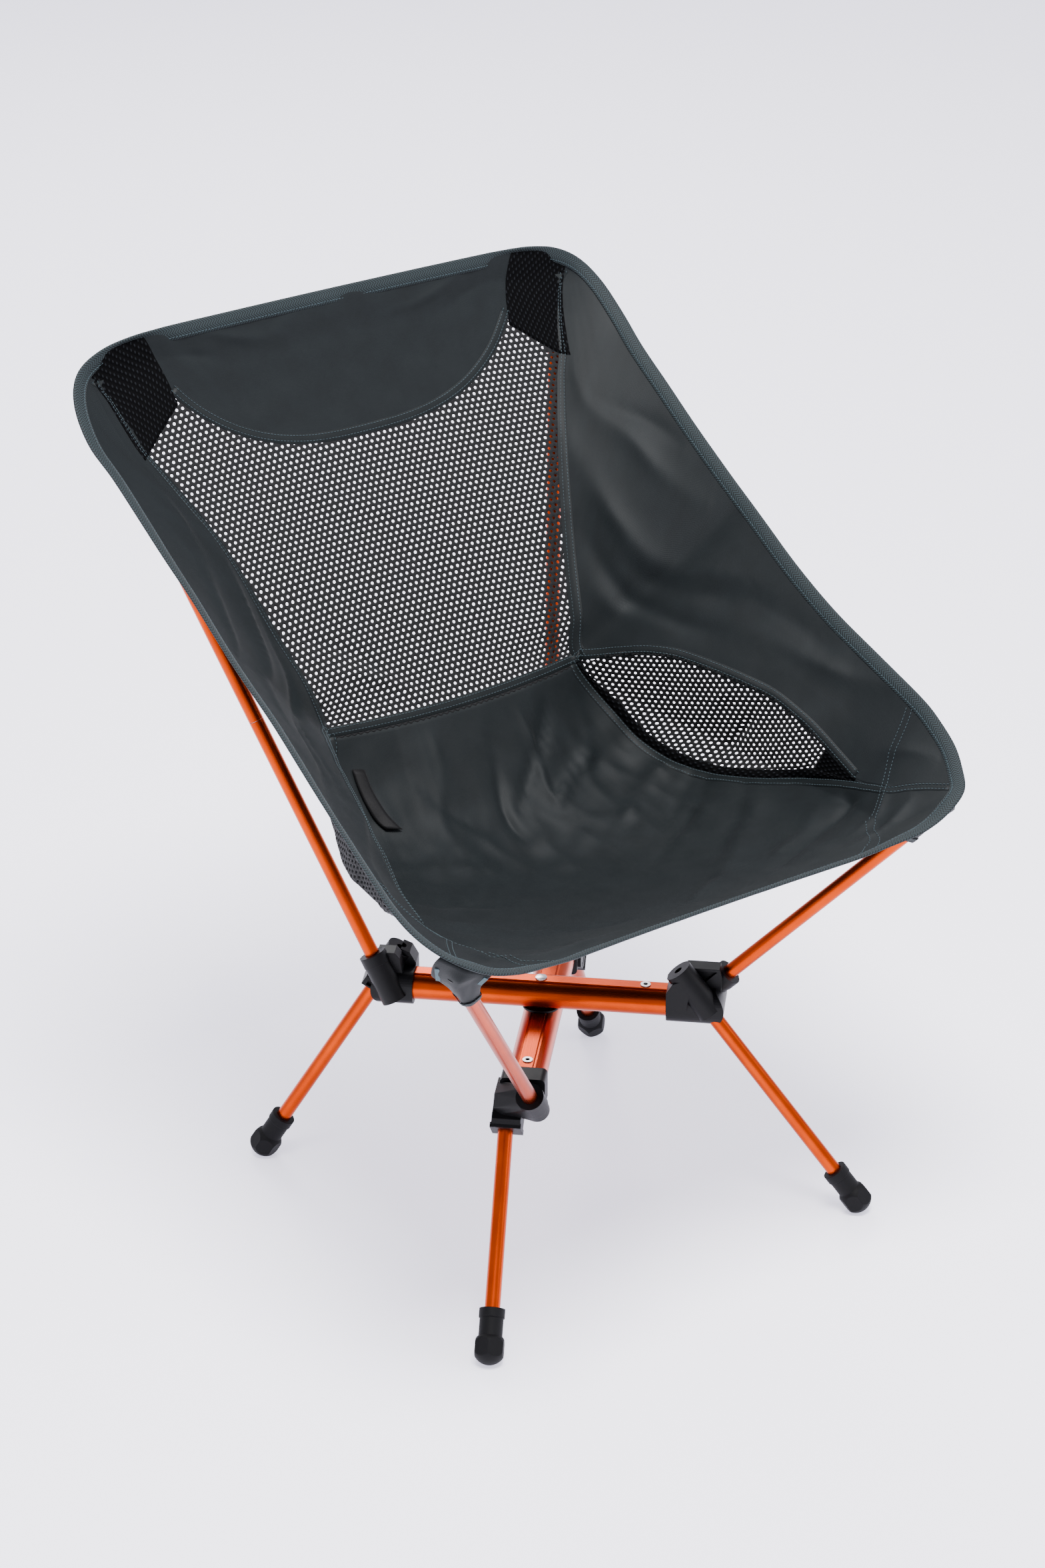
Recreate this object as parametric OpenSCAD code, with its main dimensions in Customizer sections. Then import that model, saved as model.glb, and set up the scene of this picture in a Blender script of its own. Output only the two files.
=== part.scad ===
// Ultralight backpacking chair: two crossed beams that scissor on one rivet, four
// moulded hubs, four shock-corded legs, four sling poles and a sewn sling.
// Millimetres, +Z up, floor at z = 0. The origin is on the floor under the middle of the chair.
// The sitter faces -Y and +X is right seen from the front.

/* [Tubes] */
// Outside diameter of the legs and sling poles
pole_d = 12; // [11.8:0.1:12.2]
// Wall of the legs and sling poles
pole_wall = 0.9; // [0.8:0.1:1.1]
// Diametral clearance of a tube in its bore
bore_clear = 0.1; // [0.06:0.02:0.16]
// Shock cord diameter
cord_d = 2.8; // [2.4:0.2:3.2]

/* [Beams] */
// Width of the extruded beam
beam_w = 31; // [30:0.5:32]
// Height of the extruded beam
beam_h = 24; // [23.6:0.2:24]
// Wall of the extruded beam
beam_wall = 1.6; // [1.4:0.1:1.8]
// Distance of the end rivets from the pivot
rivet_reach = 84; // [80:1:86]

/* [Hubs and feet] */
// Outside diameter of the hub barrels
barrel_d = 23; // [22:0.5:24]
// Depth of a tube in its hub barrel
tube_depth = 24; // [22:0.5:24]
// Diameter of the rubber foot bulb
foot_d = 25; // [24:0.5:26]

/* [Sling] */
// Thickness of the fabric panels
cloth_t = 1.6; // [1.2:0.1:2]
// Width of the binding tape on the sling's rim
tape_w = 8; // [7:0.5:9]

/* [Hidden] */
$fn = 48;

O = [0, -31, 0];                   // the floor under the pivot; the tables below count from here
z_up = 176;                        // centre height of the upper beam
z_low = z_up - beam_h - 2;         // centre height of the lower beam
foot_z = 12;                       // centre height of a foot bulb
FR = 0; RL = 1; FL = 2; RR = 3;    // corners: front right, rear left, front left, rear right
AZ = [-42.5, 137.5, -132.5, 47.5]; // way each beam end points
BZ = [z_up, z_up, z_low, z_low];   // height of the beam each hub sits on
BEND = [116, 116, 113, 113];       // where the beam's end stops inside the hub
EXIT = [[137, 173], [135, 169], [140, 131], [134, 132]];   // leg leaves the hub: reach, height
MOUTH = [[150, 199], [135, 206], [150, 170], [136, 170]];  // pole enters the hub: reach, height
FOOT = [[180, -187], [-167, 159], [-180, -187], [167, 159]];
TIP = [[229, -217, 372], [-221, 293, 651], [-229, -217, 372], [221, 293, 651]];
leg_side = -10;                    // legs leave on the right of the beam, looking outward
pole_side = 10;                    // poles enter on the left of it
joint_z = 392;                     // height of the joint between the rear pole sections

function at(c, r, s, z) = O + [r * cos(AZ[c]) - s * sin(AZ[c]), r * sin(AZ[c]) + s * cos(AZ[c]), z];
function leg_exit(c) = at(c, EXIT[c][0], leg_side, EXIT[c][1]);
function foot_at(c) = O + [FOOT[c][0], FOOT[c][1], foot_z];
function tip_at(c) = O + TIP[c];
function mouth(c) = at(c, MOUTH[c][0], pole_side, MOUTH[c][1]);
function unit(v) = v / norm(v);
function leg_dir(c) = unit(foot_at(c) - leg_exit(c));      // down the leg
function pole_dir(c) = unit(tip_at(c) - mouth(c));            // up the pole
function leg_top(c) = leg_exit(c) - tube_depth * leg_dir(c);
function pole_foot(c) = mouth(c) - tube_depth * pole_dir(c);
function joint_at(c) = mouth(c) + pole_dir(c) * (joint_z - mouth(c)[2]) / pole_dir(c)[2];

// A cylinder from p along the unit vector d
module rod(p, d, len, dia)
  translate(p) rotate([0, acos(d[2]), atan2(d[1], d[0])]) cylinder(d = dia, h = len);
module tube(p, d, len, od, id)
  difference() { rod(p, d, len, od); rod(p - d, d, len + 2, id); }

// ---- beams: an extrusion with bulging sides and a raised flat along its top and bottom
flat_w = 10;                       // width of the raised flats
side_drop = 1;                     // how far the bulging sides stay below the flats
// The beam's outline, grown or shrunk
module outline(grow) {
  r = beam_h / 2 - side_drop;
  x = beam_w / 2 - r;
  square([flat_w + 2 * grow, beam_h + 2 * grow], center = true);
  square([2 * x, 2 * (r + grow)], center = true);
  for (s = [-x, x]) translate([s, 0]) circle(r = r + grow, $fn = 64);
}
module beam_section()
  difference() {
    outline(0);
    // a groove on each side of the flats
    for (s = [-1, 1], t = [-1, 1]) translate([s * (flat_w / 2 + 1), t * (beam_h / 2 - 1)]) square([2, 1.6], center = true);
    outline(-beam_wall);
  }
module along_beam(c, z, from, to)
  translate(O + [0, 0, z]) rotate([0, 0, AZ[c]]) translate([from, 0, 0]) rotate([90, 0, 90])
    linear_extrude(to - from) children();
module beam(c, hole_d)
  difference() {
    union() { along_beam(c, BZ[c], -BEND[c], BEND[c]) beam_section(); }
    translate(O + [0, 0, BZ[c] - beam_h]) cylinder(d = hole_d, h = 2 * beam_h);
    for (s = [-1, 1]) translate(at(c, s * rivet_reach, 0, BZ[c] - beam_h)) cylinder(d = 5.1, h = 2 * beam_h);
  }
module upper_beam() { color("darkorange") beam(FR, 6.05); }
module lower_beam() { color("orange") beam(FL, 6.1); }

// ---- pivot: a flat-headed rivet through both beams with a spacer between them
module pivot_rivet() {
  color("silver") translate(O) {
    low = z_low - beam_h / 2;
    top = z_up + beam_h / 2;
    translate([0, 0, low - 2]) cylinder(d = 6, h = top - low + 3);
    translate([0, 0, top]) cylinder(d = 9.4, h = 1);
    translate([0, 0, top + 1]) intersection() {
      cylinder(d = 9.4, h = 1);
      translate([0, 0, -15]) sphere(r = 15.8, $fn = 64);
    }
    translate([0, 0, low - 2.3]) cylinder(d = 10, h = 2);
  }
}
module pivot_spacer()
  color("dimgray") translate(O) difference() {
    translate([0, 0, z_up - beam_h / 2 - 1.7]) rotate([0, 0, AZ[FR]]) linear_extrude(1.7) { square([6, 24], center = true); for (s = [-3, 3]) translate([s, 0]) circle(d = 24); }
    translate([0, 0, z_low]) cylinder(d = 6.05, h = 40);
  }
module eyelet(c, s) {
  p = at(c, s * rivet_reach, 0, BZ[c]);
  difference() {
    union() {
      translate(p - [0, 0, beam_h / 2 + 0.8]) cylinder(d = 5, h = beam_h + 1.6);
      for (t = [-1, 1]) translate(p + [0, 0, t * (beam_h / 2 + 0.4)]) cylinder(d = 8.2, h = 0.8, center = true);
    }
    translate(p - [0, 0, beam_h]) cylinder(d = 3.6, h = 2 * beam_h);
  }
}
module upper_end_rivets() { color("silver") for (s = [-1, 1]) eyelet(FR, s); }
module lower_end_rivets() { color("silver") for (s = [-1, 1]) eyelet(FL, s); }

// ---- hubs: a sleeve over the beam's end, a tongue inside it, a leg barrel and a pole barrel
module side_plate(c, s0, s1, points)
  translate(O) rotate([0, 0, AZ[c]]) translate([0, s1, 0]) rotate([90, 0, 0]) linear_extrude(s1 - s0) polygon(points);
// A rounded block between two reaches, as wide and high as the sleeve
module sleeve_block(c, from, to, w, h, r)
  along_beam(c, BZ[c], from, to) offset(r = r, $fn = 32) square([w - 2 * r, h - 2 * r], center = true);
// The sleeve's outer end is rounded off in side view
module sleeve(c, from, to, r)
  intersection() {
    sleeve_block(c, from, to + 1, beam_w + 4.4, beam_h + 4.4, r);
    translate(O) rotate([0, 0, AZ[c]]) union() {
      translate([to - 17, 30, BZ[c]]) rotate([90, 0, 0]) cylinder(r = 17, h = 60);
      translate([from - 1, -30, BZ[c] - 20]) cube([to - from - 16, 60, 40]);
    }
  }
module leg_barrel(c, len) rod(leg_exit(c) - len * leg_dir(c), leg_dir(c), len, barrel_d - 0.6);
module pole_barrel(c, from, to, d) rod(mouth(c) - from * pole_dir(c), pole_dir(c), from - to, d);
// way the leg runs in side view, and square to it
function leg_run(c) = unit([norm(FOOT[c]) - EXIT[c][0], foot_z - EXIT[c][1]]);
function leg_box(c, half, from, to) = let (u = leg_run(c), n = [-u[1], u[0]])
  [for (q = [[-1, from], [1, from], [1, to], [-1, to]]) EXIT[c] + q[0] * half * n - q[1] * u];
module upper_hub_body(c) {
  end = c == FR ? 148 : 136;
  sleeve(c, 102, end, 11);
  leg_barrel(c, c == FR ? 44 : 38);
  pole_barrel(c, 42, 8, barrel_d - 2);
  pole_barrel(c, 9, 0, barrel_d - 1);
  // fairing from the pole barrel's foot to the sleeve
  hull() { pole_barrel(c, 40, 26, barrel_d - 3.4, $fn = 32); sleeve_block(c, 112, 130, 30, 20, 8); }
  // web between the barrels, with a recess in its side, and the saddle over the sleeve's mouth
  difference() {
    side_plate(c, -3, 10, [[110, 184], [113, 203], [117, 207.5], [end - 5, 207.5], [end - 3, 200], [end - 4, 178]]);
    side_plate(c, -4, 0, [[119, 205], [end - 7, 205], [127, 191]]);
  }
  side_plate(c, -20, -4, [[102, 176], [102, 192], [107, 201], [114, 204], [120, 190], [118, 176]]);
  if (c == RL) difference() {
    side_plate(c, -21, 6, leg_box(c, 12, 0, 9));
    // two slots beside the leg's exit
    for (i = [-1, 1]) side_plate(c, 3, 7, [for (q = leg_box(c, 3.6, 1.5, 6)) q + i * 4.9 * [-leg_run(c)[1], leg_run(c)[0]]]);
  }
}
module lower_hub_body(c) {
  sleeve_block(c, 98, 116, beam_w + 4.4, beam_h + 4.4, 4);
  sleeve_block(c, 112, 136, beam_w + 2, 17, 7);
  // housing between the barrels: flat on the leg's side, round on the pole's
  hull() {
    pole_barrel(c, 20, 3, barrel_d - 1.6, $fn = 32);
    side_plate(c, -20, -6, [[112, 142], [112, 158], [130, 158], [138, 150], [136, 142]]);
  }
  hull() { pole_barrel(c, 32, 12, barrel_d - 4, $fn = 32); sleeve_block(c, 116, 134, 24, 16, 6); }
  pole_barrel(c, 4, 0, barrel_d - 1);
  side_plate(c, -20.6, 2, concat(leg_box(c, 10.6, 0, 12), [[112, 140]]));
  side_plate(c, -21.4, 2.8, leg_box(c, 11.4, 0, 4));
  side_plate(c, -20.2, 2.4, [[104, 140], [104, 157], [126, 157], [EXIT[c][0] + 5, 145], [EXIT[c][0] + 7, 138], [EXIT[c][0] - 10, 127]]);
}
module hub_solid(c) {
  upper = BZ[c] == z_up;
  mouth_r = upper ? 102 : 98;
  color("dimgray") difference() {
    union() {
      difference() {
        if (upper) upper_hub_body(c); else lower_hub_body(c);
        along_beam(c, BZ[c], mouth_r - 20, BEND[c] + 0.3) outline(0.05);
        // nothing stands over the beam inside the sleeve's mouth
        translate(O) rotate([0, 0, AZ[c]]) translate([mouth_r - 40, -30, BZ[c] - 40]) cube([40, 60, 90]);
      }
      along_beam(c, BZ[c], rivet_reach - 12, BEND[c] + 1) outline(-beam_wall - 0.1);
    }
    rod(leg_top(c) - 0.5 * leg_dir(c), leg_dir(c), tube_depth + 20, pole_d + bore_clear);
    if (upper) rod(leg_exit(c) - 70 * leg_dir(c), leg_dir(c), 50, 7);
    rod(pole_foot(c), pole_dir(c), tube_depth + 30, pole_d + bore_clear);
    translate(at(c, rivet_reach, 0, BZ[c] - 20)) cylinder(d = 5.1, h = 40);
  }
}
module hub_front_right() hub_solid(FR);
module hub_rear_left() hub_solid(RL);
module hub_front_left() hub_solid(FL);
module hub_rear_right() hub_solid(RR);

// ---- legs: tube, rubber foot and the cord inside
foot_up = 30;        // collar top above the bulb's centre, along the leg
function leg_low(c) = foot_at(c) - 5 * leg_dir(c);
module leg(c) { color("darkorange") tube(leg_top(c), leg_dir(c), norm(leg_low(c) - leg_top(c)), pole_d, pole_d - 2 * pole_wall); }
module foot(c) {
  d = leg_dir(c);
  color("dimgray") difference() {
    union() {
      intersection() {
        translate(foot_at(c)) sphere(d = foot_d + 1, $fn = 64);
        // flats on the bulb, along the leg
        translate(foot_at(c) - 20 * d) rotate([0, acos(d[2]), atan2(d[1], d[0])]) cylinder(r = foot_d * 0.5, h = 33, $fn = 6);
      }
      rod(foot_at(c) - 25 * d, d, 20, 18.4);
      rod(foot_at(c) - foot_up * d, d, 7, 20);
    }
    rod(foot_at(c) - 40 * d, d, 35.2, pole_d + 0.06);
    translate(foot_at(c) - [30, 30, 60 + foot_z]) cube([60, 60, 60]);
  }
}
module leg_cord(c) {
  color("black") {
    rod(leg_top(c) + 1 * leg_dir(c), leg_dir(c), norm(leg_low(c) - leg_top(c)) - 4, cord_d);
    for (p = [leg_top(c) + 3 * leg_dir(c), leg_low(c) - 4 * leg_dir(c)]) translate(p) sphere(d = 7, $fn = 32);
  }
}
module leg_front_right() leg(FR);
module leg_rear_left() leg(RL);
module leg_front_left() leg(FL);
module leg_rear_right() leg(RR);
module foot_front_right() foot(FR);
module foot_rear_left() foot(RL);
module foot_front_left() foot(FL);
module foot_rear_right() foot(RR);
module leg_cord_front_right() leg_cord(FR);
module leg_cord_rear_left() leg_cord(RL);
module leg_cord_front_left() leg_cord(FL);
module leg_cord_rear_right() leg_cord(RR);

// ---- sling poles: one section in front, two joined by a ferrule at the back
tip_len = 9;
function pole_end(c) = tip_at(c) - tip_len * pole_dir(c);
module pole_tube(c, from, to) { color("darkorange") tube(from, pole_dir(c), norm(to - from), pole_d, pole_d - 2 * pole_wall); }
module pole_front_right() pole_tube(FR, pole_foot(FR), pole_end(FR));
module pole_front_left() pole_tube(FL, pole_foot(FL), pole_end(FL));
module pole_rear_left_lower() pole_tube(RL, pole_foot(RL), joint_at(RL));
module pole_rear_left_upper() pole_tube(RL, joint_at(RL) + 0.4 * pole_dir(RL), pole_end(RL));
module pole_rear_right_lower() pole_tube(RR, pole_foot(RR), joint_at(RR));
module pole_rear_right_upper() pole_tube(RR, joint_at(RR) + 0.4 * pole_dir(RR), pole_end(RR));
module ferrule(c) { color("silver") tube(joint_at(c) - 35 * pole_dir(c), pole_dir(c), 70, pole_d - 2 * pole_wall - 0.1, 8); }
module ferrule_rear_left() ferrule(RL);
module ferrule_rear_right() ferrule(RR);
module tip(c) {
  d = pole_dir(c);
  color("black") {
    rod(pole_end(c) - 12 * d, d, 12, pole_d - 2 * pole_wall - 0.1);
    rod(pole_end(c), d, tip_len - 4, pole_d + 0.8);
    intersection() {
      rod(pole_end(c), d, tip_len + 4, pole_d + 0.8);
      translate(tip_at(c) - 6.4 * d) sphere(d = pole_d + 0.8);
    }
  }
}
module tip_front_right() tip(FR);
module tip_rear_left() tip(RL);
module tip_front_left() tip(FL);
module tip_rear_right() tip(RR);
module pole_cord(c) {
  d = pole_dir(c);
  len = norm(pole_end(c) - pole_foot(c)) - 13;
  color("black") {
    rod(pole_foot(c) + 1 * d, d, len - 1, cord_d);
    translate(pole_foot(c) + 4 * d) sphere(d = 7, $fn = 32);
  }
}
module pole_cord_front_right() pole_cord(FR);
module pole_cord_rear_left() pole_cord(RL);
module pole_cord_front_left() pole_cord(FL);
module pole_cord_rear_right() pole_cord(RR);

// ---- sling surface: three rows of points from the front edge (row 0) to the top edge (row 21).
// EDGE is the rim on the right, KNEE the side seam or the foot of the side wall, MID the middle.
EDGE = [[184, -238, 366], [210, -235, 372], [232, -230, 384], [244, -213, 392], [252, -195, 402],
  [255, -174, 413], [255, -153, 424], [251, -103, 444], [247, -53, 464], [245, -6, 487], [246, 40, 511],
  [246, 60, 522], [246, 75, 530], [246, 105, 547], [247, 138, 565], [248, 172, 585], [249, 210, 607],
  [252, 240, 625], [248, 267, 648], [235, 283, 666], [211, 287, 678], [183, 287, 683]];
KNEE = [[130, -226, 355], [150, -220, 353], [166, -211, 353], [176, -197, 353], [184, -179, 354],
  [188, -158, 352], [190, -138, 350], [190, -88, 345], [185, -38, 345], [175, 5, 350], [152, 60, 362],
  [120, 120, 389], [125, 135, 423], [137, 160, 461], [150, 184, 503], [164, 207, 539], [182, 233, 574],
  [199, 257, 607], [211, 275, 637], [216, 284, 655], [192, 288, 674], [158, 291, 683]];
MID = [[0, -215, 349], [0, -205, 343], [0, -194, 337], [0, -180, 330], [0, -163, 322], [0, -143, 314],
  [0, -122, 307], [0, -78, 297], [0, -30, 292], [0, 20, 299], [0, 65, 322], [0, 113, 385], [0, 140, 425],
  [0, 165, 465], [0, 190, 503], [0, 215, 540], [0, 240, 578], [0, 262, 615], [0, 279, 648], [0, 287, 668],
  [0, 291, 678], [0, 293, 683]];
last = len(MID) - 1;
function row(tab, i) = tab[max(0, min(last, i))];
function spline(tab, v) = let (i = min(floor(v), last - 1), f = v - i,
    a = row(tab, i - 1), b = row(tab, i), c = row(tab, i + 1), d = row(tab, i + 2))
  0.5 * (2 * b + (c - a) * f + (2 * a - 5 * b + 4 * c - d) * f * f + (3 * b - a - 3 * c + d) * f * f * f);
// where the seat's side seam runs, and where the side panel begins above the side window
SEAT_T = [[2.5, 2], [2.75, 1.85], [4.6, 1.3], [6.15, 1.18], [7.5, 0.96], [8.35, 0.87], [9.15, 0.82], [9.9, 0.84], [10.5, 0.91], [11, 0.99]];
SIDE_T = [[2.5, 2], [2.75, 1.85], [4.6, 1.3], [6.15, 1.18], [6.9, 1.27], [7.6, 1.33], [8.3, 1.35], [9.05, 1.31], [9.6, 1.28], [10.2, 1.24], [10.6, 1.16], [11, 1.01], [21, 1.01]];
// how far the window's lower seam swings out, down and back, and its upper seam in, up and forward
OUT_LOW = [[6.3, 0], [7.5, 6], [8.35, 19], [9.15, 27], [9.9, 27], [10.5, 17], [11, 0]];
OUT_HIGH = [[6, 0], [6.9, -12], [7.6, -24], [8.3, -28], [9.05, -31], [9.6, -30], [10.2, -24], [10.6, -14], [11, 0]];
SWING = [0.51, 0.73, -0.46];
function swing(t, v) = let (q = abs(t), lo = lookup(v, SEAT_T), hi = max(lookup(v, SIDE_T), lo + 0.01),
    a = lookup(v, OUT_LOW), b = lookup(v, OUT_HIGH), f = max(0, min(1, (q - 0.25) / (lo - 0.25))))
  q < lo ? a * f * f * (3 - 2 * f) : q < hi ? a + (b - a) * (q - lo) / (hi - lo) : b * (2 - q) / max(2 - hi, 0.01);
// Point across (-2 left rim, 0 middle, 1 knee, 2 right rim) and along (row number)
function surf(t, v) = let (e = spline(EDGE, v), k = spline(KNEE, v), m = spline(MID, v),
    a = min(abs(t), 1), b = max(abs(t) - 1, 0), p = m + (k - m) * a * a + (e - k) * b)
  let (w = SWING * swing(t, v)) O + [(t < 0 ? -1 : 1) * (k[0] * a + (e[0] - k[0]) * b + w[0]), p[1] + w[1], p[2] + w[2]];
function normal(t, v) = let (vl = max(v - 0.1, 0), vh = min(v + 0.1, last))
  unit(cross(surf(t + 0.02, v) - surf(t - 0.02, v), surf(t, vh) - surf(t, vl)));
function t_of_x(x, v) = let (k = spline(KNEE, v)[0], e = spline(EDGE, v)[0], s = x < 0 ? -1 : 1, q = abs(x))
  s * (q <= k ? q / k : 1 + (q - k) / max(e - k, 1));

// A closed sheet on a grid of [t, v] pairs: grid[i][j], i along, j across
module sheet(grid, thick) {
  n = len(grid); m = len(grid[0]);
  up = [for (r = grid) for (g = r) surf(g[0], g[1]) + normal(g[0], g[1]) * thick / 2];
  dn = [for (r = grid) for (g = r) surf(g[0], g[1]) - normal(g[0], g[1]) * thick / 2];
  o = n * m;
  rim = concat([for (j = [0 : m - 2]) j], [for (i = [0 : n - 2]) i * m + m - 1],
    [for (j = [m - 1 : -1 : 1]) (n - 1) * m + j], [for (i = [n - 1 : -1 : 1]) i * m]);
  polyhedron(concat(up, dn), concat(
    [for (i = [0 : n - 2], j = [0 : m - 2]) [i * m + j, (i + 1) * m + j, i * m + j + 1]],
    [for (i = [0 : n - 2], j = [0 : m - 2]) [i * m + j + 1, (i + 1) * m + j, (i + 1) * m + j + 1]],
    [for (i = [0 : n - 2], j = [0 : m - 2]) [o + i * m + j, o + i * m + j + 1, o + (i + 1) * m + j]],
    [for (i = [0 : n - 2], j = [0 : m - 2]) [o + i * m + j + 1, o + (i + 1) * m + j + 1, o + (i + 1) * m + j]],
    [for (k = [0 : len(rim) - 1]) let (a = rim[k], b = rim[(k + 1) % len(rim)]) [a, b, o + a]],
    [for (k = [0 : len(rim) - 1]) let (a = rim[k], b = rim[(k + 1) % len(rim)]) [b, o + b, o + a]]));
}
// rim of the panels, clear of the binding tape
// (the rim runs slantwise to the rows at the front corners, so the step along a row is longer there)
function t_rim(v) = 2 - (tape_w + 1.5) * lookup(v, [[1, 3.4], [1.5, 2.3], [2, 1.7], [3, 1.25], [4, 1]])
  / norm(spline(EDGE, v) - spline(KNEE, v));
function seat_t(v) = min(t_rim(v), v < 2.5 ? 2 : lookup(v, SEAT_T) - 0.012);
gap = 0.012;
function arc_v(x) = 21 - 5 * pow(max(0, 1 - pow(abs(x) / 185, 2.6)), 1 / 2.6);   // lower edge of the top panel
// upper end of the back mesh at each place across
BACK_V = [[0, 16], [0.3, 16.1], [0.5, 16.35], [0.6, 16.6], [0.7, 17.05], [0.75, 17.5], [0.8, 18.1], [0.85, 17.9], [0.9, 17.6], [0.95, 17.25], [1, 16.9]];

module seat_panel()
  color("slategray") sheet([for (i = [0 : 13]) let (v = 1.1 + 9.86 * i / 13) [for (j = [-9 : 9]) [j / 9 * seat_t(v), v]]], cloth_t);
module back_mesh()
  color("gray") sheet([for (i = [0 : 8]) [for (j = [-16 : 16]) let (t = j / 16.2) [t, 11.03 + (lookup(abs(t), BACK_V) - 0.03 - 11.03) * i / 8]]], cloth_t);
module top_panel()
  color("slategray") sheet([for (i = [0 : 5]) [for (j = [-12 : 12]) let (x = 172 * sin(90 * j / 12), lo = arc_v(x) + 0.03, v = lo + (19.3 - lo) * i / 5) [t_of_x(x, v), v]]], cloth_t);
module side_panel(s)
  color("darkslategray") sheet([for (i = [0 : 20]) let (v = 3.2 + 15.9 * i / 20, lo = lookup(v, SIDE_T) + gap, hi = max(t_rim(v), lo + 0.05))
    [for (j = [0 : 4]) let (t = s > 0 ? lo + (hi - lo) * j / 4 : -(hi + (lo - hi) * j / 4)) [t, v]]], cloth_t);
module side_mesh(s)
  color("gray") sheet([for (i = [0 : 9]) let (v = 6.5 + 4.2 * i / 9, lo = lookup(v, SEAT_T) + gap, hi = lookup(v, SIDE_T) - gap)
    [for (j = [0 : 4]) let (t = s > 0 ? lo + (hi - lo) * j / 4 : -(hi + (lo - hi) * j / 4)) [t, v]]], cloth_t);
// inner and outer ends of the corner patch, as [x, row]
function corner_mix(a, b) = (1 - b) * ((1 - a) * [173, 18.35] + a * [195.5, 17.05]) + b * ((1 - a) * [180, 20] + a * [211, 19.1]);
module corner_mesh(s)
  color("black") sheet([for (i = [0 : 4]) [for (j = [0 : 4]) let (p = corner_mix(s > 0 ? j / 4 : 1 - j / 4, i / 4)) [s * t_of_x(p[0], p[1]), p[1]]]], cloth_t);
module side_panel_left() side_panel(-1);
module side_panel_right() side_panel(1);
module side_mesh_left() side_mesh(-1);
module side_mesh_right() side_mesh(1);
module corner_mesh_left() corner_mesh(-1);
module corner_mesh_right() corner_mesh(1);

// ---- pockets that take the pole tips
module pocket(c, len) {
  d = pole_dir(c);
  color("darkslategray") difference() {
    rod(tip_at(c) + 1.9 * d, -d, len, pole_d + 5);
    rod(tip_at(c) + 0.5 * d, -d, len + 10, pole_d + 2.4);
  }
}
module rear_pocket_left() pocket(RL, 60);
module rear_pocket_right() pocket(RR, 60);
module front_pocket_left() pocket(FL, 46);
module front_pocket_right() pocket(FR, 46);

// ---- binding tape round the whole rim
RING = concat([for (i = [-8 : 8]) [i / 4, 0]], [for (i = [1 : 27]) [2, i * 21 / 28]], [for (i = [-8 : 8]) [-i / 4, 21]],
  [for (i = [1 : 27]) [-2, 21 - i * 21 / 28]]);
module binding_tape() {
  n = len(RING);
  pts = [for (g = RING) surf(g[0], g[1])];
  nrm = [for (g = RING) normal(sign(g[0]) * min(abs(g[0]), 1.95), min(max(g[1], 0.15), 20.85))];
  ring = [for (i = [0 : n - 1]) let (p = pts[i], tan = unit(pts[(i + 1) % n] - pts[(i + n - 1) % n]), w = unit(cross(nrm[i], tan)))
    [p + nrm[i] * 1.5, p - nrm[i] * 1.5, p + w * tape_w - nrm[i] * 1.5, p + w * tape_w + nrm[i] * 1.5]];
  color("teal") polyhedron([for (r = ring) each r],
    [for (i = [0 : n - 1], k = [0 : 3], h = [0, 1]) let (a = i * 4 + k, b = i * 4 + (k + 1) % 4, c = ((i + 1) % n) * 4 + k, d = ((i + 1) % n) * 4 + (k + 1) % 4)
      h == 0 ? [a, b, c] : [b, d, c]]);
}
// ---- tag in the seat's left seam
module label_tag() {
  a = surf(-0.867, 10.5); b = surf(-0.744, 9.63);
  u = unit(b - a); w = unit(cross(u, normal(-0.8, 10.05))); n = cross(w, u); p = (a + b) / 2 + n * 5;
  color("black") multmatrix([[w[0], u[0], n[0], p[0]], [w[1], u[1], n[1], p[1]], [w[2], u[2], n[2], p[2]]])
    cube([14, norm(b - a), 0.8], center = true);
}

upper_beam();
lower_beam();
pivot_rivet();
pivot_spacer();
upper_end_rivets();
lower_end_rivets();
hub_front_right();
hub_rear_left();
hub_front_left();
hub_rear_right();
leg_front_right();
leg_rear_left();
leg_front_left();
leg_rear_right();
foot_front_right();
foot_rear_left();
foot_front_left();
foot_rear_right();
leg_cord_front_right();
leg_cord_rear_left();
leg_cord_front_left();
leg_cord_rear_right();
pole_front_right();
pole_front_left();
pole_rear_left_lower();
pole_rear_left_upper();
pole_rear_right_lower();
pole_rear_right_upper();
ferrule_rear_left();
ferrule_rear_right();
tip_front_right();
tip_rear_left();
tip_front_left();
tip_rear_right();
pole_cord_front_right();
pole_cord_rear_left();
pole_cord_front_left();
pole_cord_rear_right();
seat_panel();
back_mesh();
top_panel();
side_panel_left();
side_panel_right();
side_mesh_left();
side_mesh_right();
corner_mesh_left();
corner_mesh_right();
rear_pocket_left();
rear_pocket_right();
front_pocket_left();
front_pocket_right();
binding_tape();
label_tag();
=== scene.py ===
"""Looks for the folding camp chair: the sewn sling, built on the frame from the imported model.

Metres, in the model's frame: +Z up, floor at z = 0, the sitter faces -Y.
"""
import math

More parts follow.
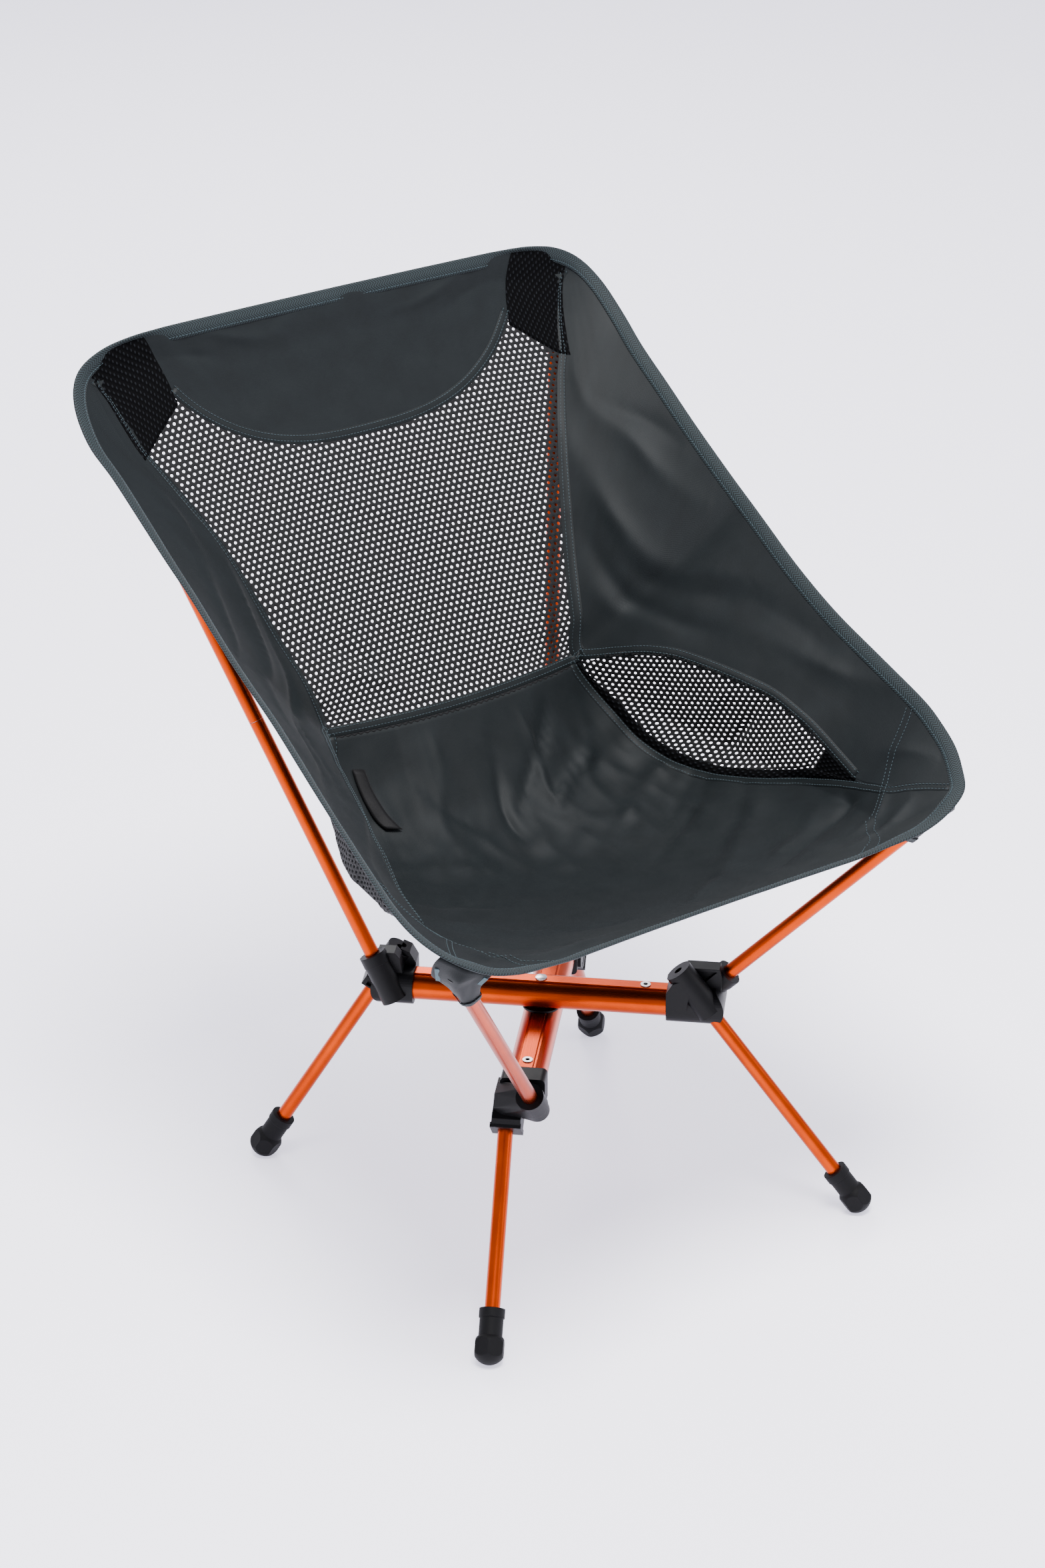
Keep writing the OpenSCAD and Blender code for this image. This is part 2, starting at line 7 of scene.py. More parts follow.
import bpy
import numpy as np
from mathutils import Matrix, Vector


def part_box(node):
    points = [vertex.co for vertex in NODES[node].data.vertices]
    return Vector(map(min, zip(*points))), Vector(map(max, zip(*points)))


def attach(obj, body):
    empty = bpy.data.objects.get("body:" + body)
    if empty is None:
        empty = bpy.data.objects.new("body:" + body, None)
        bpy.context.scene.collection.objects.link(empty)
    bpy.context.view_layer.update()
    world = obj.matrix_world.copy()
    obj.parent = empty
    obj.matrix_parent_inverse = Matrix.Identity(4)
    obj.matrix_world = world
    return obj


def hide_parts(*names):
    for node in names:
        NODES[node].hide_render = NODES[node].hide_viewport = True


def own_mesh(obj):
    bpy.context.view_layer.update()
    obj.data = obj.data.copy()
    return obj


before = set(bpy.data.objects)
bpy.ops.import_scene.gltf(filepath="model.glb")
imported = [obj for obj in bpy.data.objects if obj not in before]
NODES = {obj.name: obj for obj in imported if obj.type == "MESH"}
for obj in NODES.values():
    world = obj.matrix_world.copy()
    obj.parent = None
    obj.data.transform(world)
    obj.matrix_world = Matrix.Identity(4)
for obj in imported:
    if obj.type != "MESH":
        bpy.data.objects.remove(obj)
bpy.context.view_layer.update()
MM = 0.001
SOFT_BODY = "sling"
ROUND = 2 * math.pi

# ---------------------------------------------------------------- camera, light and floor
CAM_AT = (-1.4709, -2.1033, 1.6626)
CAM_DOWN, CAM_TURN = math.radians(27.10), math.radians(35.03)
CAM_LENS, SENSOR = 84.19, 36.0
AIM = (0, 0, 0.3)     # the middle of the chair, where the lights point
FLOOR_HALF = 30.0
# The floor gives a little light of its own, so that it stays as pale as the photograph's background.
FLOOR_GLOW = (0.82, 0.80, 1.0)
WORLD_COLOR, WORLD_STRENGTH = (0.885, 0.88, 1.0), 1.2


def add_camera():
    cam = bpy.data.objects.new("camera", bpy.data.cameras.new("camera"))
    bpy.context.scene.collection.objects.link(cam)
    cam.location = CAM_AT
    cam.rotation_euler = (math.pi / 2 - CAM_DOWN, 0, -CAM_TURN)
    cam.data.sensor_fit = "VERTICAL"
    cam.data.sensor_height = SENSOR
    cam.data.lens = CAM_LENS
    cam.data.clip_end = 60
    bpy.context.scene.camera = cam


def area_light(name, at, size, power, color=(1, 1, 1)):
    light = bpy.data.objects.new(name, bpy.data.lights.new(name, "AREA"))
    bpy.context.scene.collection.objects.link(light)
    light.data.shape = "DISK"
    light.data.size = size
    light.data.energy = power
    light.data.color = color
    light.location = at
    light.rotation_euler = (Vector(AIM) - Vector(at)).to_track_quat("-Z", "Y").to_euler()


def add_studio():
    world = bpy.data.worlds.new("studio")
    bpy.context.scene.world = world
    world.use_nodes = True
    back = world.node_tree.nodes["Background"]
    back.inputs["Color"].default_value = (*WORLD_COLOR, 1)
    back.inputs["Strength"].default_value = WORLD_STRENGTH
    area_light("key", (-0.35, -0.7, 3.3), 1.5, 240, (1.0, 0.99, 0.99))
    area_light("fill", (2.2, -1.8, 1.8), 1.4, 26, (0.97, 0.98, 1.0))
    area_light("rim", (1.2, 2.6, 2.2), 1.2, 50)
    mesh = bpy.data.meshes.new("floor")
    s = FLOOR_HALF
    mesh.from_pydata([(-s, -s, 0), (s, -s, 0), (s, s, 0), (-s, s, 0)], [], [(0, 1, 2, 3)])
    floor = bpy.data.objects.new("floor", mesh)
    bpy.context.scene.collection.objects.link(floor)
    k = Kit("studio_floor", (0.905, 0.895, 0.935), 0.9)
    k.set("Specular IOR Level", 0.15)
    k.set("Emission Color", (*FLOOR_GLOW, 1))
    k.set("Emission Strength", 1.0)
    mesh.materials.append(k.mat)


# ---------------------------------------------------------------- materials
class Kit:
    """A principled material and short ways to add nodes to it."""

    def __init__(self, name, color, rough, metal=0.0, sheen=0.0):
        self.mat = bpy.data.materials.new(name)
        self.mat.use_nodes = True
        self.tree = self.mat.node_tree
        self.bsdf = self.tree.nodes["Principled BSDF"]
        self.set("Base Color", (*color, 1))
        self.set("Roughness", rough)
        self.set("Metallic", metal)
        if sheen:
            self.set("Sheen Weight", sheen)
            self.set("Sheen Roughness", 0.45)

    def set(self, name, value):
        self.bsdf.inputs[name].default_value = value

    def node(self, kind, **props):
        n = self.tree.nodes.new(kind)
        for k, v in props.items():
            if k in n.inputs:
                n.inputs[k].default_value = v
            else:
                setattr(n, k, v)
        return n

    def link(self, a, b):
        self.tree.links.new(a, b)

    def math(self, op, a, b=0.0, c=None):
        n = self.node("ShaderNodeMath", operation=op)
        for i, x in enumerate((a, b, c)):
            if x is None:
                continue
            if hasattr(x, "is_output"):
                self.link(x, n.inputs[i])
            else:
                n.inputs[i].default_value = x
        return n.outputs[0]

    def coords(self, kind, scale=(1, 1, 1), turn=(0, 0, 0)):
        """UV is in millimetres on the sling's cloth; Object is in metres."""
        tc = self.node("ShaderNodeTexCoord")
        mp = self.node("ShaderNodeMapping")
        mp.inputs["Scale"].default_value = scale
        mp.inputs["Rotation"].default_value = turn
        self.link(tc.outputs[kind], mp.inputs["Vector"])
        return mp.outputs["Vector"]

    def cloth_plane(self):
        """The cloth's own coordinates in millimetres: the vector, across and along."""
        vec = self.coords("UV")
        sep = self.node("ShaderNodeSeparateXYZ")
        self.link(vec, sep.inputs[0])
        return vec, sep.outputs[0], sep.outputs[1]

    def noise(self, vec, scale, detail=3.0, rough=0.55):
        n = self.node("ShaderNodeTexNoise", Scale=scale, Detail=detail, Roughness=rough)
        self.link(vec, n.inputs["Vector"])
        return n.outputs["Fac"]

    def ramp(self, fac, low, high, a=0.3, b=0.7):
        r = self.node("ShaderNodeValToRGB")
        e = r.color_ramp.elements
        e[0].position, e[1].position = a, b
        e[0].color, e[1].color = (*low, 1), (*high, 1)
        self.link(fac, r.inputs["Fac"])
        return r.outputs["Color"]

    def spread(self, fac, low, high):
        m = self.node("ShaderNodeMapRange")
        m.inputs["To Min"].default_value = low
        m.inputs["To Max"].default_value = high
        self.link(fac, m.inputs["Value"])
        return m.outputs["Result"]

    def bump(self, height, distance, strength=1.0, normal=None):
        b = self.node("ShaderNodeBump", Strength=strength, Distance=distance)
        self.link(height, b.inputs["Height"])
        if normal is not None:
            self.link(normal, b.inputs["Normal"])
        return b.outputs["Normal"]

    def edge_round(self, radius):
        b = self.node("ShaderNodeBevel", Radius=radius)
        b.samples = 4
        return b.outputs["Normal"]

    def out(self, name, socket):
        self.link(socket, self.bsdf.inputs[name])


def axis_turn(direction):
    """Euler turn that lays +Z along a direction, as a Mapping node applies it backwards."""
    q = Vector(direction).normalized().to_track_quat("Z", "Y")
    return tuple(q.inverted().to_euler("XYZ"))


ORANGE_LOW, ORANGE_HIGH = (0.36, 0.030, 0.0), (0.48, 0.048, 0.0)


def anodised(name, direction):
    """Anodised aluminium with drawing lines along the tube."""
    k = Kit(name, ORANGE_HIGH, 0.3, metal=1.0)
    vec = k.coords("Object", turn=axis_turn(direction))
    stretch = k.node("ShaderNodeMapping")
    stretch.inputs["Scale"].default_value = (1, 1, 0.012)
    k.link(vec, stretch.inputs["Vector"])
    lines = k.noise(stretch.outputs["Vector"], 2600, 2.0, 0.6)
    cloud = k.noise(vec, 34, 3.0)
    k.out("Base Color", k.ramp(cloud, ORANGE_LOW, ORANGE_HIGH, 0.25, 0.75))
    k.out("Roughness", k.spread(lines, 0.22, 0.36))
    k.out("Normal", k.bump(lines, 0.00003, 0.5, k.edge_round(0.0004)))
    return k.mat


def moulded(name, color, rough, grain, edge=0.0007):
    """Moulded plastic or rubber with a fine spark-eroded grain and faint scuffs."""
    k = Kit(name, color, rough)
    k.set("Specular IOR Level", 0.15)
    vec = k.coords("Object")
    fine = k.noise(vec, grain, 2.0, 0.7)
    scuff = k.noise(vec, 60, 5.0, 0.7)
    light = tuple(min(1, c * 1.6 + 0.0006) for c in color)
    k.out("Base Color", k.ramp(scuff, color, light, 0.42, 0.78))
    k.out("Roughness", k.spread(scuff, rough - 0.07, rough + 0.1))
    k.out("Normal", k.bump(fine, 0.00006, 0.6, k.edge_round(edge)))
    return k.mat


def steel(name):
    k = Kit(name, (0.60, 0.60, 0.61), 0.3, metal=1.0)
    vec = k.coords("Object")
    marks = k.noise(vec, 900, 4.0, 0.7)
    k.out("Roughness", k.spread(marks, 0.22, 0.42))
    k.out("Normal", k.bump(marks, 0.00004, 0.5, k.edge_round(0.0004)))
    return k.mat


def braid(name):
    k = Kit(name, (0.006, 0.006, 0.007), 0.8, sheen=0.05)
    vec = k.coords("Object")
    weave = k.node("ShaderNodeTexWave", Scale=420.0, Distortion=1.5)
    k.link(vec, weave.inputs["Vector"])
    k.out("Normal", k.bump(weave.outputs["Fac"], 0.0003, 0.6))
    return k.mat


def woven(name, low, high, rough=0.56, pitch=0.55):
    """Fine twill: diagonal ribs at a real pitch in millimetres, over slow colour clouds."""
    k = Kit(name, high, rough, sheen=0.03)
    k.set("Specular IOR Level", 0.15)
    vec, x, y = k.cloth_plane()
    turn = ROUND / pitch
    warp = k.math("SINE", k.math("MULTIPLY", k.math("ADD", x, y), turn * 0.7))
    weft = k.math("SINE", k.math("MULTIPLY", k.math("SUBTRACT", x, y), turn * 0.35))
    weave = k.math("MULTIPLY_ADD", weft, 0.35, warp)
    cloud = k.noise(vec, 0.035, 4.0, 0.6)
    slub = k.noise(vec, 1.4, 2.0, 0.5)
    mix = k.math("MULTIPLY_ADD", slub, 0.45, k.math("MULTIPLY", cloud, 0.55))
    k.out("Base Color", k.ramp(mix, low, high, 0.3, 0.68))
    k.out("Roughness", k.spread(slub, rough - 0.06, rough + 0.08))
    height = k.math("MULTIPLY_ADD", weave, 0.4, slub)
    k.out("Normal", k.bump(height, 0.00010, 0.45))
    return k.mat


CHEVRON, TWILL = 2.9, 2.4   # mm: half a chevron's width, and the ribs' pitch along the tape


def herringbone(name, low, high):
    """Twill tape: ribs that turn back every CHEVRON mm across the tape, with painted highlight and shade on the
    ribs.
    """
    k = Kit(name, high, 0.7, sheen=0.06)
    k.set("Specular IOR Level", 0.25)
    vec, across, along = k.cloth_plane()
    zig = k.math("PINGPONG", across, CHEVRON)
    rib = k.math("SINE", k.math("MULTIPLY", k.math("ADD", zig, along), ROUND / TWILL))
    slub = k.noise(vec, 1.1, 3.0, 0.6)
    mix = k.math("MULTIPLY_ADD", rib, 0.3, k.math("MULTIPLY_ADD", slub, 0.3, 0.35))
    # The colour follows the rib height: the herringbone is the tape's weave, and its light and dark stripes are
    # painted highlight on the rib crests and painted shade between them.
    k.out("Base Color", k.ramp(mix, low, high, 0.3, 0.78))
    k.out("Normal", k.bump(k.math("MULTIPLY_ADD", rib, 0.6, slub), 0.00018, 0.6))
    return k.mat


def knit(name, color, light, pitch):
    """Spacer mesh: rows of small dimples between raised loops, with painted shade darkening the dimples."""
    k = Kit(name, color, 0.85)
    k.set("Specular IOR Level", 0.06)
    vec, x, y = k.cloth_plane()
    waves = [k.math("COSINE", k.math("MULTIPLY", k.math("MULTIPLY_ADD", y, lean, x), ROUND / pitch))
             for lean in (0.577, -0.577)]
    dots = k.math("MULTIPLY", k.math("ADD", waves[0], waves[1]), 0.5)
    fuzz = k.noise(vec, 2.2, 3.0, 0.6)
    h = k.math("MULTIPLY_ADD", fuzz, 0.35, dots)
    # The colour follows the dimple height: painted shade in the dimples, against lighter loop tops.
    k.out("Base Color", k.ramp(h, color, light, 0.62, 0.98))
    k.out("Normal", k.bump(h, 0.0004, 0.8))
    return k.mat


def yarn(name):
    """Yarn of the open net: zigzag courses with a little fuzz."""
    k = Kit(name, (0.01, 0.01, 0.011), 0.8, sheen=0.04)
    k.set("Specular IOR Level", 0.25)
    vec, x, y = k.cloth_plane()
    zig = k.math("MULTIPLY", k.math("PINGPONG", x, 3.15), 0.5)
    course = k.math("SINE", k.math("MULTIPLY", k.math("ADD", y, zig), ROUND / 0.9))
    fuzz = k.noise(vec, 1.6, 3.0, 0.6)
    mix = k.math("MULTIPLY_ADD", course, 0.16, fuzz)
    k.out("Base Color", k.ramp(mix, (0.001, 0.001, 0.0012), (0.007, 0.0072, 0.008), 0.3, 0.8))
    k.out("Normal", k.bump(k.math("MULTIPLY_ADD", course, 0.5, fuzz), 0.00025, 0.7))
    return k.mat


CLOTH_LOW, CLOTH_HIGH = (0.0021, 0.0035, 0.0040), (0.0046, 0.0067, 0.0075)
M = {
    "cloth": woven("cloth_charcoal", CLOTH_LOW, CLOTH_HIGH),
    "band": woven("cloth_seam_band", (0.0019, 0.0032, 0.0035), (0.0042, 0.0062, 0.0068), 0.5, 0.5),
    "tape": herringbone("twill_tape", (0.0008, 0.0024, 0.0028), (0.014, 0.024, 0.027)),
    "net": yarn("net_yarn"),
    "spacer": knit("spacer_mesh", (0.0003, 0.0003, 0.0005), (0.0075, 0.0085, 0.010), 4.5),
    "thread": woven("sewing_thread", (0.017, 0.026, 0.030), (0.040, 0.058, 0.066), 0.6, 0.3),
    "edge_thread": woven("edge_thread", (0.020, 0.032, 0.037), (0.045, 0.068, 0.078), 0.6, 0.3),
    "bartack": woven("bartack_thread", (0.04, 0.07, 0.08), (0.09, 0.14, 0.16), 0.6, 0.3),
    "label": woven("label_weave", (0.0008, 0.0008, 0.001), (0.002, 0.002, 0.0024), 0.6, 0.4),
    "hub": moulded("hub_plastic", (0.0012, 0.0012, 0.0015), 0.44, 1500),
    "rubber": moulded("foot_rubber_grain", (0.0014, 0.0014, 0.0018), 0.62, 1100, 0.001),
    "steel": steel("rivet_steel_finish"),
    "cord": braid("cord_braid"),
}


# ---------------------------------------------------------------- the frame's own parts
CORNERS = ("front_right", "rear_left", "front_left", "rear_right")


def long_axis(node):
    """Direction of a long straight part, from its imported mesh."""
    pts = np.array([v.co for v in NODES[node].data.vertices])
    return np.linalg.svd(pts - pts.mean(0), full_matrices=False)[2][0]


def dress(node, mat):
    data = NODES[node].data
    data.materials.clear()
    data.materials.append(mat)


def dress_frame():
    for n in NODES:
        if n.startswith(("pole_", "leg_")) and "cord" not in n or n.endswith("_beam"):
            dress(n, anodised("anodised_" + n, long_axis(n)))
        elif n.startswith(("hub_", "tip_")) or n == "pivot_spacer":
            dress(n, M["hub"])
        elif n.startswith("foot_"):
            dress(n, M["rubber"])
        elif "cord" in n:
            dress(n, M["cord"])
        elif "rivet" in n or n.startswith("ferrule"):
            dress(n, M["steel"])


# ---------------------------------------------------------------- the sling's surface
# Three rows of points from the front edge (row 0) to the top edge (row 21), in millimetres from
# the pivot: the rim, the side seam or foot of the side wall, and the middle.
PIVOT = np.array([0.0, -31.0, 0.0])
EDGE = np.array([(184, -238, 366), (210, -235, 372), (232, -230, 384), (244, -213, 392), (252, -195, 402),
    (255, -174, 413), (255, -153, 424), (251, -103, 444), (247, -53, 464), (245, -6, 487), (246, 40, 511),
    (246, 60, 522), (246, 75, 530), (246, 105, 547), (247, 138, 565), (248, 172, 585), (249, 210, 607),
    (252, 240, 625), (248, 267, 648), (235, 283, 666), (211, 287, 678), (183, 287, 683)], float)
KNEE = np.array([(130, -226, 355), (150, -220, 353), (166, -211, 353), (176, -197, 353), (184, -179, 354),
    (188, -158, 352), (190, -138, 350), (190, -88, 345), (185, -38, 345), (175, 5, 350), (152, 60, 362),
    (120, 120, 389), (125, 135, 423), (137, 160, 461), (150, 184, 503), (164, 207, 539), (182, 233, 574),
    (199, 257, 607), (211, 275, 637), (216, 284, 655), (192, 288, 674), (158, 291, 683)], float)
MID = np.array([(0, -215, 349), (0, -205, 343), (0, -194, 337), (0, -180, 330), (0, -163, 322), (0, -143, 314),
    (0, -122, 307), (0, -78, 297), (0, -30, 292), (0, 20, 299), (0, 65, 322), (0, 113, 385), (0, 140, 425),
    (0, 165, 465), (0, 190, 503), (0, 215, 540), (0, 240, 578), (0, 262, 615), (0, 279, 648), (0, 287, 668),
    (0, 291, 678), (0, 293, 683)], float)
LAST = len(MID) - 1
HIP = 11   # the row of the seam between the seat and the back
KNEE_T, RIM_T = 1.0, 2.0


def catmull_rom(a, b, c, d, f):
    """The point a share f of the way from b to c, on the smooth curve through a, b, c and d."""
    return 0.5 * (2 * b + (c - a) * f + (2 * a - 5 * b + 4 * c - d) * f * f + (3 * b - a - 3 * c + d) * f ** 3)


def spline(tab, v):
    """Smooth curve through the rows of a table, with its end rows repeated."""
    v = np.clip(v, 0, LAST)
    i = np.minimum(np.floor(v).astype(int), LAST - 1)
    f = (v - i)[..., None]
    return catmull_rom(*(tab[np.clip(i + k, 0, LAST)] for k in (-1, 0, 1, 2)), f)


# Seams across the sling: rows of (row, t). The seat's side seam, and the side panel's lower edge.
SEAT_T = [(0, 2), (2.5, 2), (2.75, 1.85), (4.6, 1.3), (6.15, 1.18), (6.8, 1.07), (7.5, 0.96), (8.35, 0.87),
    (9.15, 0.82), (9.9, 0.84), (10.5, 0.91), (11, 1.0)]
SIDE_T = [(2.5, 2), (2.75, 1.85), (4.6, 1.3), (6.15, 1.18), (6.9, 1.27), (7.6, 1.33), (8.3, 1.35), (9.05, 1.31),
    (9.6, 1.28), (10.2, 1.24), (10.6, 1.16), (11, 1.0), (18.5, 1.0), (19.3, 1.35)]
# How far, in mm, the window's lower seam swings out and its upper seam in, and which way.
OUT_LOW = [(6.3, 0), (7.5, 6), (8.35, 19), (9.15, 27), (9.9, 27), (10.5, 17), (11, 0)]
OUT_HIGH = [(6, 0), (6.9, -12), (7.6, -24), (8.3, -28), (9.05, -31), (9.6, -30), (10.2, -24), (10.6, -14), (11, 0)]
SWING = np.array([0.51, 0.73, -0.46])


def table_t(rows, v):
    """A table's value at each row number, with soft corners."""
    rows = np.array(rows)
    v = np.asarray(v, float)
    return sum(np.interp(v + d, rows[:, 0], rows[:, 1]) for d in (-0.12, -0.04, 0.04, 0.12)) / 4


def swing(t, v):
    """How far in mm each point moves along SWING: nothing at the middle and at the rim."""
    q = np.abs(t)
    lo = np.minimum(table_t(SEAT_T, v), 1.98)
    hi = np.clip(table_t(SIDE_T, v), lo + 0.01, 1.99)
    a, b = table_t(OUT_LOW, v), table_t(OUT_HIGH, v)
    f = np.clip((q - 0.25) / (lo - 0.25), 0, 1)
    seat = a * f * f * (3 - 2 * f)
    window = a + (b - a) * (q - lo) / (hi - lo)
    wall = b * (2 - q) / (2 - hi)
    return np.where(q < lo, seat, np.where(q < hi, window, wall))


def surf(t, v):
    """The taut surface: t is 0 in the middle, 1 at the knee, 2 at the right rim; v is the row."""
    t, v = np.broadcast_arrays(np.asarray(t, float), np.asarray(v, float))
    e, k, m = spline(EDGE, v), spline(KNEE, v), spline(MID, v)
    a = np.minimum(np.abs(t), 1)[..., None]
    b = np.maximum(np.abs(t) - 1, 0)[..., None]
    p = m + (k - m) * a * a + (e - k) * b
    w = swing(t, v)[..., None] * SWING
    p = p + w
    p[..., 0] = np.sign(t) * (k[..., :1] * a + (e - k)[..., :1] * b + w[..., :1])[..., 0]
    return (p + PIVOT) * MM


def frame_at(point, t, v, step=0.03):
    """Tangents per unit of t and v, and the unit normal, which points at the sitter."""
    v = np.asarray(v, float)
    lo, hi = np.maximum(v - step, 0), np.minimum(v + step, LAST)
    dt = (point(t + step, v) - point(t - step, v)) / (2 * step)
    dv = (point(t, hi) - point(t, lo)) / (hi - lo)[..., None]
    n = np.cross(dt, dv)
    n /= np.linalg.norm(n, axis=-1)[..., None]
    return dt, dv, n


# Soft folds: start (t, row), end (t, row), half width in mm, height in mm.
FOLD_GAIN = 1.7   # makes the folds that start on the seat higher
FOLDS = [
    (1.05, 15.5, 1.75, 9.5, 16, 4.4), (1.05, 13.8, 1.6, 8.6, 14, -3.4), (1.10, 17.6, 1.85, 12.0, 14, 3.6),
    (1.08, 12.6, 1.40, 10.2, 10, 2.2), (1.3, 12.5, 1.9, 7.5, 16, -3.4), (1.45, 10.0, 1.95, 6.0, 13, 2.8),
    (1.3, 16.0, 1.9, 13.5, 12, -2.6), (1.35, 6.6, 1.8, 4.0, 12, 2.6),
    (-1.05, 15.5, -1.75, 9.5, 12, 5.0), (-1.05, 14.0, -1.6, 8.4, 9, -4.2), (-1.15, 17.0, -1.85, 11.0, 10, 4.0),
    (-1.2, 12.4, -1.9, 7.0, 12, -4.0), (-1.3, 9.5, -1.9, 5.6, 9, 3.4),
    (0.85, 9.3, 0.25, 8.4, 8, 4.6), (0.84, 8.6, 0.3, 7.2, 7, -4.0), (0.9, 7.6, 0.35, 5.6, 10, 4.4),
    (0.8, 10.2, 0.2, 9.4, 6, 3.4), (0.86, 8.9, 0.42, 7.9, 5, -3.0), (0.9, 8.0, 0.5, 6.4, 6, -3.2),
    (1.1, 6.4, 0.5, 3.6, 10, -4.2), (1.4, 3.6, 0.7, 2.4, 9, 4.0), (1.7, 2.2, 0.9, 3.2, 8, -3.4),
    (1.0, 6.6, 0.6, 5.0, 7, 3.2), (1.25, 5.0, 0.8, 3.4, 7, 3.0), (0.5, 5.8, 0.1, 4.2, 12, 2.6),
    (-0.85, 9.3, -0.25, 8.6, 8, 4.2), (-0.86, 8.2, -0.3, 7.4, 8, -3.8), (-0.95, 7.4, -0.35, 5.4, 11, 4.2),
    (-1.1, 6.2, -0.5, 3.8, 12, -4.4), (-1.4, 3.6, -0.7, 2.2, 11, 4.6), (-1.7, 2.2, -0.9, 3.4, 10, -4.0),
    (-1.5, 4.6, -0.9, 3.2, 10, 4.2), (-1.0, 2.0, -0.3, 3.0, 12, 3.0), (-0.6, 6.4, -0.1, 5.0, 12, -2.8),
    (0.6, 10.7, 0.1, 9.8, 7, -3.6), (-0.6, 10.7, -0.15, 9.7, 7, -3.4), (0.35, 10.8, 0.3, 9.3, 6, 2.8),
    (-0.3, 10.8, -0.32, 9.4, 6, 2.8), (0.1, 10.8, 0.0, 9.0, 7, -2.4), (0.75, 10.6, 0.5, 9.6, 5, 2.6),
    (-0.75, 10.6, -0.5, 9.8, 5, 2.4),
    (0.93, 9.6, 1.28, 9.1, 5, 3.0), (0.9, 9.0, 1.33, 8.4, 5, -2.8), (0.95, 8.2, 1.32, 7.7, 5, 2.8),
    (1.0, 7.4, 1.28, 7.0, 5, -2.4), (-0.93, 9.6, -1.28, 9.1, 5, 3.0), (-0.9, 9.0, -1.33, 8.4, 5, -2.8),
    (-0.95, 8.2, -1.32, 7.7, 5, 2.8), (-1.0, 7.4, -1.28, 7.0, 5, -2.4),
    (-0.9, 12.2, -0.1, 11.1, 8, 4.0), (-0.95, 13.2, -0.35, 11.4, 7, -3.0), (0.15, 16.0, 0.35, 11.6, 5, 1.8),
    (-0.6, 15.8, 0.3, 13.4, 9, 1.8), (0.9, 12.6, 0.3, 11.2, 6, 2.2), (-0.2, 14.0, 0.5, 12.6, 8, -1.6),
    (0.62, 19.4, 0.2, 18.4, 8, 2.0), (-0.62, 19.4, -0.2, 18.6, 8, 2.0), (0.35, 20.3, -0.3, 19.6, 7, -1.6),
    (0.9, 19.0, 0.4, 18.0, 6, -1.6), (-0.9, 19.2, -0.45, 18.0, 6, -1.6),
]
COLS, ROWS = 241, 232   # the grid on which the folds are worked out once
WANDER = 5.0            # mm that the folds stray from straight lines
CRUMPLE = 4.0           # mm, the height of the small creases


def folded(t, v):
    """Displacement along the normal at each grid point, from the folds."""
    base = surf(t, v) / MM
    base = base + WANDER * np.sin(base[..., [1, 2, 0]] * 0.045 + np.sin(base[..., [2, 0, 1]] * 0.021) * 2)
    out = np.zeros(t.shape)
    for t0, v0, t1, v1, width, height in FOLDS:
        s = np.linspace(0, 1, 30)
        line = surf(t0 + (t1 - t0) * s, v0 + (v1 - v0) * s) / MM
        d = np.linalg.norm(base[..., None, :] - line, axis=-1)
        k = d.argmin(-1)
        near = np.take_along_axis(d, k[..., None], -1)[..., 0]
        crest = np.sqrt((near / width) ** 2 + 0.05) - math.sqrt(0.05)
        gain = FOLD_GAIN if v0 < HIP and abs(t0) < 1.2 else 1.0
        out += gain * height * np.sin(math.pi * s[k]) ** 0.8 * np.exp(-2.2 * crest)
    return out


def crumples(t, v, seed=7, count=12):
    """Small wandering creases: a sum of sharp-crested waves with random ways and phases.

    They are strongest at the back and front of the seat, weak on the back, and fade at the rim."""
    rng = np.random.default_rng(seed)
    base = surf(t, v) / MM
    out = np.zeros(t.shape)
    for _ in range(count):
        way = rng.normal(size=3)
        way /= np.linalg.norm(way)
        wave = rng.uniform(16, 60)
        bend = rng.normal(size=3) / 160
        phase = rng.uniform(0, ROUND)
        turn = math.pi * (base @ way) / wave + 1.6 * np.sin(base @ bend * 2 * math.pi) + phase
        out += wave / 70 * (0.64 - np.abs(np.sin(turn)))
    seat = np.exp(-((v - 8.9) / 2.0) ** 2) + 0.45 * np.exp(-((v - 3.0) / 2.0) ** 2)
    loose = np.where(v < HIP, seat, 0.22)
    loose = loose * np.interp(np.abs(t), (0, 0.9, 1.15, 1.8, 2), (1, 1, 0.25, 0.18, 0))
    return CRUMPLE * out / math.sqrt(count) * loose


GRID_T, GRID_V = np.meshgrid(np.linspace(-2, 2, COLS), np.linspace(0, LAST, ROWS))
HEIGHT = folded(GRID_T, GRID_V) + crumples(GRID_T, GRID_V)
SHIFT = frame_at(surf, GRID_T, GRID_V)[2] * (HEIGHT * MM)[..., None]


def cloth(t, v):
    """The sewn surface with its folds."""
    t, v = np.broadcast_arrays(np.asarray(t, float), np.asarray(v, float))
    x = np.clip((t + 2) / 4 * (COLS - 1), 0, COLS - 1.001)
    y = np.clip(v / LAST * (ROWS - 1), 0, ROWS - 1.001)
    i, j = x.astype(int), y.astype(int)
    fx, fy = (x - i)[..., None], (y - j)[..., None]
    d = (SHIFT[j, i] * (1 - fx) * (1 - fy) + SHIFT[j, i + 1] * fx * (1 - fy)
         + SHIFT[j + 1, i] * (1 - fx) * fy + SHIFT[j + 1, i + 1] * fx * fy)
    return surf(t, v) + d


# ---------------------------------------------------------------- seams, as points (t, row)
def t_of_x(x, v):
    """The t of a place x mm from the middle, on row v."""
    k, e = spline(KNEE, v)[..., 0], spline(EDGE, v)[..., 0]
    q = np.abs(x)
    return np.sign(x) * np.where(q <= k, q / k, 1 + (q - k) / np.maximum(e - k, 1))


ARC_HALF, ARC_DEEP, ARC_POWER = 185, 5, 2.6   # mm, rows, and how square the curve is


